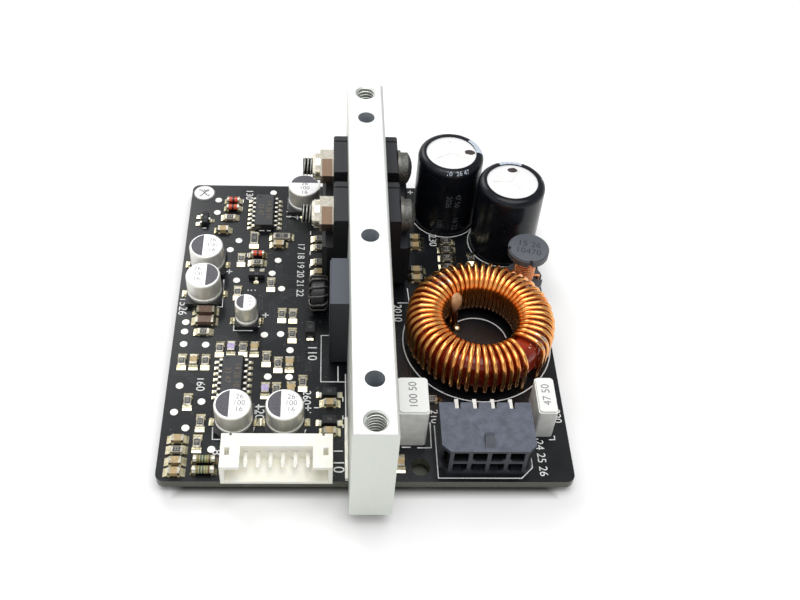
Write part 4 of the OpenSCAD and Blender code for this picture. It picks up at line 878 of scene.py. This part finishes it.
# %% [markdown]
# ## Tracks and vias
# Under the mask run copper tracks. They lift the lacquer by about a hundredth of a millimetre and show as
# slightly lighter lines, in bundles that mostly turn at 45 degrees. Vias, the plated holes between the
# layers, are small dark dots at one end of each track and here and there between them: flat discs that carry
# the painted shade of the holes.

# %% Tracks
# Mask over copper: the same lacquer, lifted and a shade lighter.
raised_mask = finish("solder_mask_on_copper", "#1e2125", "#2a2d32", 4, (0.22, 0.3), 0.003,
                     Specular_IOR_Level=0.38)
bundles = (
    (((15.6, 28.6), (17.6, 30.0), (17.6, 38.0), (20.4, 40.8), (29.0, 40.8)), 4, 0.45),
    (((22.4, 24.6), (25.2, 27.4), (25.2, 28.6)), 3, 0.45),
    (((19.8, 28.2), (22.8, 28.2), (24.2, 26.8), (24.2, 22.4)), 3, 0.4),
    (((15.2, 36.6), (15.2, 39.6), (17.2, 41.6)), 2, 0.5), (((7.4, 29.6), (9.4, 29.6), (10.4, 28.8)), 3, 0.4),
    (((1.2, 21.6), (3.0, 21.6), (4.6, 20.0), (6.4, 20.0)), 3, 0.45),
    (((4.8, 17.2), (7.0, 17.2), (7.8, 16.4)), 2, 0.5), (((18.9, 58.0), (18.9, 59.4), (20.6, 61.1)), 2, 0.5),
    (((2.2, 50.8), (2.2, 54.2), (4.8, 56.8), (4.8, 58.2)), 3, 0.45),
    (((21.6, 44.4), (19.8, 44.4), (18.2, 46.0), (18.2, 47.6)), 3, 0.45),
    (((10.0, 46.9), (8.6, 48.3), (8.6, 50.8)), 2, 0.5), (((46.6, 16.2), (48.4, 14.4), (60.0, 14.4)), 3, 0.5),
    (((41.8, 18.6), (41.8, 24.0), (40.2, 25.6), (40.2, 36.0)), 2, 0.6),
    (((22.0, 41.9), (28.6, 41.9)), 2, 0.45),
    (((20.2, 16.3), (20.2, 14.9), (24.4, 16.9), (26.0, 18.5)), 2, 0.45),
)


def beside(path, shift):
    """A path moved sideways by one distance all along, so that bundles keep their spacing round bends."""
    steps = [(Vector(b) - Vector(a)).normalized() for a, b in zip(path, path[1:])]
    moved = []
    for i, place in enumerate(path):
        before, after = steps[max(0, i - 1)], steps[min(i, len(steps) - 1)]
        side = Vector((before.y + after.y, -before.x - after.x)) / (1 + before.dot(after))
        moved.append(tuple(Vector(place) + shift * side))
    return moved


tracks, ends = [], []
for path, count, gap in bundles:
    for k in range(count):
        tracks.append(beside(path, (k - (count - 1) / 2) * gap))
        ends.append(tracks[-1][k % 2 - 1])
points, edges = strokes(tracks, up=0.006)
grow("board_tracks", ribbon_tree, points, edges, "board_mask", Width=0.00024, Thickness=0.000016,
     Finish=raised_mask.material)

# %% Vias
# Via: a near-black disc, slightly glossy, the painted shade of a small hole.
via_pit = finish("via_pit", "#0b0b0c", "#17181a", 0.2, (0.3, 0.5), 0.004)
dot_tree, given = start_tree("dots", Radius="Float", Thickness="Float", Finish="Material")
dot = add(dot_tree, "GeometryNodeMeshCylinder", {
    "Vertices": 14, "Radius": given["Radius"], "Depth": given["Thickness"]})
copies = add(dot_tree, "GeometryNodeInstanceOnPoints", {"Points": given["Geometry"], "Instance": dot})
end_tree(dot_tree, copies, given["Finish"], smooth=False)
loose = [(5.6, 60.9), (9.2, 58.9), (12.0, 57.4), (2.2, 61.6), (18.9, 57.2), (21.2, 57.0), (16.4, 50.8),
         (17.2, 51.9), (19.8, 50.6), (11.2, 46.4), (8.4, 42.0), (19.6, 39.4), (18.4, 44.9), (13.2, 37.9),
         (8.4, 31.4), (4.0, 29.6), (22.6, 29.4), (24.6, 35.2), (26.2, 33.6), (22.9, 33.4), (26.4, 35.6),
         (3.2, 21.2), (6.6, 21.9), (8.0, 17.4), (4.8, 13.1), (1.6, 9.9), (9.6, 4.9), (17.0, 8.6), (25.6, 7.9),
         (22.4, 25.4), (24.4, 24.2), (27.2, 21.0), (14.9, 39.9), (21.4, 38.3)]
points = [on_board(x, y, up=0.012) for x, y in loose + ends]
grow("board_vias", dot_tree, points, slot="board_mask", Radius=0.00024, Thickness=0.000024,
     Finish=via_pit.material)

# %% [markdown]
# ## Numbers
# Where the real board and its parts carry print, plain numbers stand in. A text object is a flat curve, so
# each is turned into a mesh, every corner is carried to its place by a rule, and all are joined into one
# piece for each ink. The plainest rule lays a number flat; others further down bend it round a sleeve.

# %% Numbers on the board
def lying(place, turned=0):
    """A rule that lays a number flat with its middle at a place in mm, turned by some degrees."""
    right, up = round_about(1, turned, 0), round_about(1, turned + 90, 0)
    return lambda u, v: Vector(place) + u * right + v * up


def numbers(name, words, look):
    """One mesh of many numbers, each a text, a size in mm and the rule that takes it to its place."""
    gathered = bmesh.new()
    for text, size, rule in words:
        curve = bpy.data.curves.new("word", "FONT")
        curve.body = text
        curve.size = size / 1000
        curve.align_x = "CENTER"
        curve.align_y = "CENTER"
        carrier = put("word", curve)
        view = bpy.context.evaluated_depsgraph_get()
        flat = bpy.data.meshes.new_from_object(carrier.evaluated_get(view))
        for corner in flat.vertices:
            corner.co = rule(corner.co.x * 1000, corner.co.y * 1000) / 1000
        gathered.from_mesh(flat)
        bpy.data.objects.remove(carrier)
        bpy.data.curves.remove(curve)
        bpy.data.meshes.remove(flat)
    mesh = bpy.data.meshes.new(name)
    gathered.to_mesh(mesh)
    gathered.free()
    mesh.materials.append(look.material)
    keep(name, mesh)


board_words = (("8", 2.2, 9.5, 5.5), ("1", 2.2, 29.3, 5.8), ("10", 2.6, 29.4, 2.9), ("110", 2.3, 24.8, 26.4),
               ("120", 2.2, 16.1, 13.6), ("130", 2.0, 11.5, 67.3), ("14", 2.4, 19.9, 61.9),
               ("1526", 2.2, 1.0, 37.1), ("160", 2.1, 5.7, 19.4), ("17 18 19 20 21 22", 1.9, 22.3, 46.7),
               ("2010", 2.1, 40.4, 35.9), ("210", 1.9, 45.7, 12.8), ("220", 1.9, 66.7, 13.0),
               ("230", 2.2, 48.1, 54.9), ("24 25 26", 2.0, 62.9, 4.6), ("260", 2.0, 24.0, 16.6))
words = [(text, size, lying(on_board(x, y, up=0.018), -90)) for text, size, x, y in board_words]
numbers("board_numbers", words, ink)

# %% [markdown]
# ## Chip resistors
# A chip resistor is a pale ceramic tile whose top carries a dark glass glaze between the two metal ends. The
# glaze is thinner than paint, so one tree lays a flat plate on each tile. Its size along X and Y comes from
# two numbers kept on the point, measured on the construction model, and plain numbers are printed on it.

# %% Plate tree
plate_tree, given = start_tree("plates", Thickness="Float", Finish="Material")
size_x, size_y = (add(plate_tree, "GeometryNodeInputNamedAttribute", {"Name": label}, data_type="FLOAT")
                  for label in ("size_x", "size_y"))
size = add(plate_tree, "ShaderNodeCombineXYZ", {0: size_x, 1: size_y, 2: given["Thickness"]})
plate = add(plate_tree, "GeometryNodeMeshCube", {"Size": (1, 1, 1)})
copies = add(plate_tree, "GeometryNodeInstanceOnPoints", {
    "Points": given["Geometry"], "Instance": plate, "Scale": size})
end_tree(plate_tree, copies, given["Finish"], smooth=False)

# %% Chip resistors
# Fired alumina: matt, warm grey white.
dress(finish("fired_alumina", "#8e897a", "#aaa595", 0.5, (0.4, 0.55), 0.004), "chip_resistors")
ends = [((low + high) / 2, (high - low) / 2) for low, high in solids_of("chip_ends")]
values, glazed_share, proud = ("10", "22", "33", "47", "15"), 0.72, 0.01
places, wide_x, wide_y, words = [], [], [], []
for n, (low, high) in enumerate(solids_of("chip_resistors")):
    middle, wide = (low + high) / 2, high - low
    end, half = min(ends, key=lambda e: (e[0] - middle).length)
    lies_x = abs(end.x - middle.x) > abs(end.y - middle.y)
    clear_x = 2 * (abs(end.x - middle.x) - half.x) if lies_x else glazed_share * wide.x
    clear_y = glazed_share * wide.y if lies_x else 2 * (abs(end.y - middle.y) - half.y)
    places.append((middle.x, middle.y, high.z + proud))
    wide_x.append(clear_x / 1000)
    wide_y.append(clear_y / 1000)
    on_glaze = (middle.x, middle.y, high.z + proud + 0.016)
    words.append((values[n % 5], 0.8, lying(on_glaze, 0 if lies_x else 90)))
# Glaze: smooth charcoal glass with a soft shine.
glaze = finish("resistor_glaze", "#2b2c2e", "#414246", 0.7, (0.25, 0.4), 0.004)
grow("resistor_glaze", plate_tree, places, fields={"size_x": wide_x, "size_y": wide_y}, Thickness=0.00003,
     Finish=glaze.material)
# Print on glaze: warm grey, fired in.
glaze_ink = finish("glaze_print", "#a5a294", "#c2bfb1", 0.3, (0.4, 0.55), 0.002)
numbers("chip_numbers", words, glaze_ink)

# %% [markdown]
# ## Marks on the small cans and the boxes
# Each surface capacitor has a dark segment printed on its top that marks the negative side, with three small
# numbers beside it. A segment is a slice of a disc, a hundredth of a millimetre above the lid that it is
# printed on. The two film boxes have one line of numbers each.

# %% Marks on the small cans and the boxes
def disc_slice(x, y, z, radius, towards, half, steps=24):
    """A slice of a disc on the side towards an angle, cut by a straight line."""
    ways = [towards + half * (2 * i / steps - 1) for i in range(steps + 1)]
    return [Vector((x, y, z)) + round_about(radius, way, 0) for way in ways], [list(range(steps + 1))]


# Can ink: a dark violet grey, dull.
can_ink = finish("can_ink", "#47464d", "#5c5b63", 0.4, (0.4, 0.55), 0.004)
print_gap = 0.012
# For each can, from the left: the radius of its flat lid, and the way in degrees that its segment faces.
lids = ((2.75, 0), (2.75, 180), (2.75, 180), (1.65, 180), (2.75, 180), (2.75, 90))
segments, words = [], []
for (low, high), (radius, towards) in zip(solids_of("board_cans"), lids):
    middle, top = (low + high) / 2, high.z + print_gap
    segments.append(disc_slice(middle.x, middle.y, top, radius, towards, 78))
    away = round_about(0.4 * radius, towards + 180, 0)
    for row, code in enumerate(("26", "100", "16")):
        place = (middle.x + away.x, middle.y + away.y + (0.52 - 0.46 * row) * radius, top)
        words.append((code, 0.5 * radius, lying(place)))
piece_of("can_segments", segments, can_ink)
for code, x, y, box in (("100 50", 7.4, -23.65, "film_box_large"), ("47 50", 29.7, -21.85, "film_box_small")):
    words.append((code, 1.9, lying((x, y, box_mm(box)[1].z + print_gap), 90)))
# Grey print: dull, on white.
faint = finish("grey_print", "#6f6e70", "#8b8a8c", 0.3, (0.5, 0.6), 0.002)
numbers("part_numbers", words, faint)

# %% [markdown]
# ## Numbers on the moulded parts
# Circuits, small transistors and the drum carry numbers that are burnt or printed in a tone close to their
# own. They only show where the light slides over them, so their colours lie close to the parts' colours.

# %% Numbers on the moulded parts
# Burnt marks: a dull brown, little lighter than the epoxy.
circuit_ink = finish("circuit_print", "#5a4f3e", "#6b5f4b", 0.3, (0.45, 0.55), 0.002)
words = []
for low, high in solids_of("ic_bodies"):
    middle, top = (low + high) / 2, high.z + print_gap
    for code, off in (("14 26 10", 0.8), ("33 47", -0.8)):
        words.append((code, 1.5, lying((middle.x + off, middle.y, top), -90)))
numbers("circuit_numbers", words, circuit_ink)
# Small print: a dull grey.
grey_ink = finish("small_print", "#4a4b4e", "#5a5b5f", 0.3, (0.45, 0.55), 0.002)
words = [("26", 0.9, lying(((low.x + high.x) / 2, (low.y + high.y) / 2, high.z + print_gap)))
         for name in ("small_diodes", "small_transistors") for low, high in solids_of(name)]
numbers("small_numbers", words, grey_ink)
# Drum print: darker than the ferrite that it is on.
drum_ink = finish("drum_print", "#2b2d31", "#383a3f", 0.3, (0.4, 0.5), 0.002)
drum_top = box_mm("drum_core")[1].z + print_gap
drum_words = (("15 26", 30.3, 9.6), ("10470", 29.9, 7.8))
words = [(code, 1.9, lying((x, y, drum_top), -12)) for code, x, y in drum_words]
numbers("drum_numbers", words, drum_ink)

# %% [markdown]
# ## Print on the sleeves
# The two large capacitors have a pale stripe down the sleeve, which runs over the rounded rim. A stripe is a
# slice of a turned skin: a profile carried some way about the can's axis. Numbers run down the wall and along
# the rim, so their rules wrap them round the sleeve and over its rounding.

# %% Sleeve stripes
left_can, right_can = (16.8, 28.15), (27.6, 20.25)
sleeve_radius, rounding = 6.25, 1.25
shoulder = box_mm("bulk_sleeves")[1].z - rounding


def lathe_slice(x, y, profile, towards, half, steps=16):
    """A slice of a turned skin: a profile of radius and height carried some way about an angle."""
    ways = [round_about(1, towards + half * (2 * i / steps - 1), 0) for i in range(steps + 1)]
    corners = [(x + r * way.x, y + r * way.y, z) for way in ways for r, z in profile]
    rows = len(profile)
    return corners, [[rows * i + k, rows * (i + 1) + k, rows * (i + 1) + k + 1, rows * i + k + 1]
                     for i in range(steps) for k in range(rows - 1)]


def rim_point(tilt, proud):
    """Radius and height of a point on the sleeve's rounded rim, that far outside it, at a tilt in degrees."""
    reach, angle = rounding + proud, math.radians(tilt)
    return sleeve_radius - rounding + reach * math.cos(angle), shoulder + reach * math.sin(angle)


# Stripe: pale blue grey, as glossy as the sleeve.
stripe = finish("sleeve_stripe", "#b9c3d3", "#cdd6e3", 0.6, (0.2, 0.3), 0.004)
stripe_foot, lip_radius = 4.2, 4.78
profile = [(sleeve_radius + print_gap, stripe_foot)]
profile += [rim_point(tilt, print_gap) for tilt in range(0, 91, 15)]
profile.append((lip_radius, shoulder + rounding + print_gap))
stripes = [lathe_slice(*left_can, profile, 22, 22), lathe_slice(*right_can, profile, 88, 24)]
piece_of("sleeve_stripes", stripes, stripe)

# %% Numbers on the sleeves
def down_wall(x, y, towards, z):
    """A rule that bends a number round a sleeve's wall, so that it reads downwards."""
    radius = sleeve_radius + 0.035
    return lambda u, v: Vector((x, y, z - u)) + round_about(radius, towards + math.degrees(v / radius), 0)


def on_rim(x, y, towards):
    """A rule that bends a number over a sleeve's rounded rim, so that it reads along the rim."""
    proud, rim_radius = 0.04, 6

    def bend(u, v):
        radius, height = rim_point(45 + math.degrees(v / (rounding + proud)), proud)
        return Vector((x, y, height)) + round_about(radius, towards + math.degrees(u / rim_radius), 0)
    return bend


# Sleeve print: faint grey on the wall, and as pale as the stripe on the rim.
sleeve_ink = finish("sleeve_print", "#5a6067", "#6f757d", 0.3, (0.3, 0.4), 0.002)
wall_words = (("2026", 267, 12.2), ("100", 255, 6.4), ("47 50", 283, 12.4), ("16 22", 283, 6.4))
words = [(code, 1.5, down_wall(*left_can, towards, z)) for code, towards, z in wall_words]
numbers("sleeve_numbers", words, sleeve_ink)
rim_words = (("10", left_can, 262), ("26 47", left_can, 288), ("50", left_can, 70), ("26", right_can, 52),
             ("10", right_can, 4))
numbers("rim_numbers", [(code, 1.2, on_rim(*spot, towards)) for code, spot, towards in rim_words], stripe)

# %% [markdown]
# ## Dots on the large cans
# Someone marked both lids with a brown pen. A dot is a flat oval whose edge a fixed seed makes uneven.

# %% Dots on the large cans
def blot(x, y, z, wide, deep, sides=16):
    """A pen dot with an uneven edge."""
    spread = [hand.uniform(0.88, 1.1) for _ in range(sides)]
    spots = [round_about(spread[i], 360 * i / sides, 0) for i in range(sides)]
    return [(x + wide * spot.x, y + deep * spot.y, z) for spot in spots], [list(range(sides))]


# Brown ink: dark and dull.
dot_ink = finish("brown_ink", "#2c2523", "#413632", 0.3, (0.4, 0.5), 0.002)
lid_top = box_mm("bulk_cans")[1].z + print_gap
dots = [blot(x, y, lid_top, 1.0, 0.72) for x, y in ((20.4, 28.5), (27.95, 23.55))]
piece_of("can_dots", dots, dot_ink)

# %% [markdown]
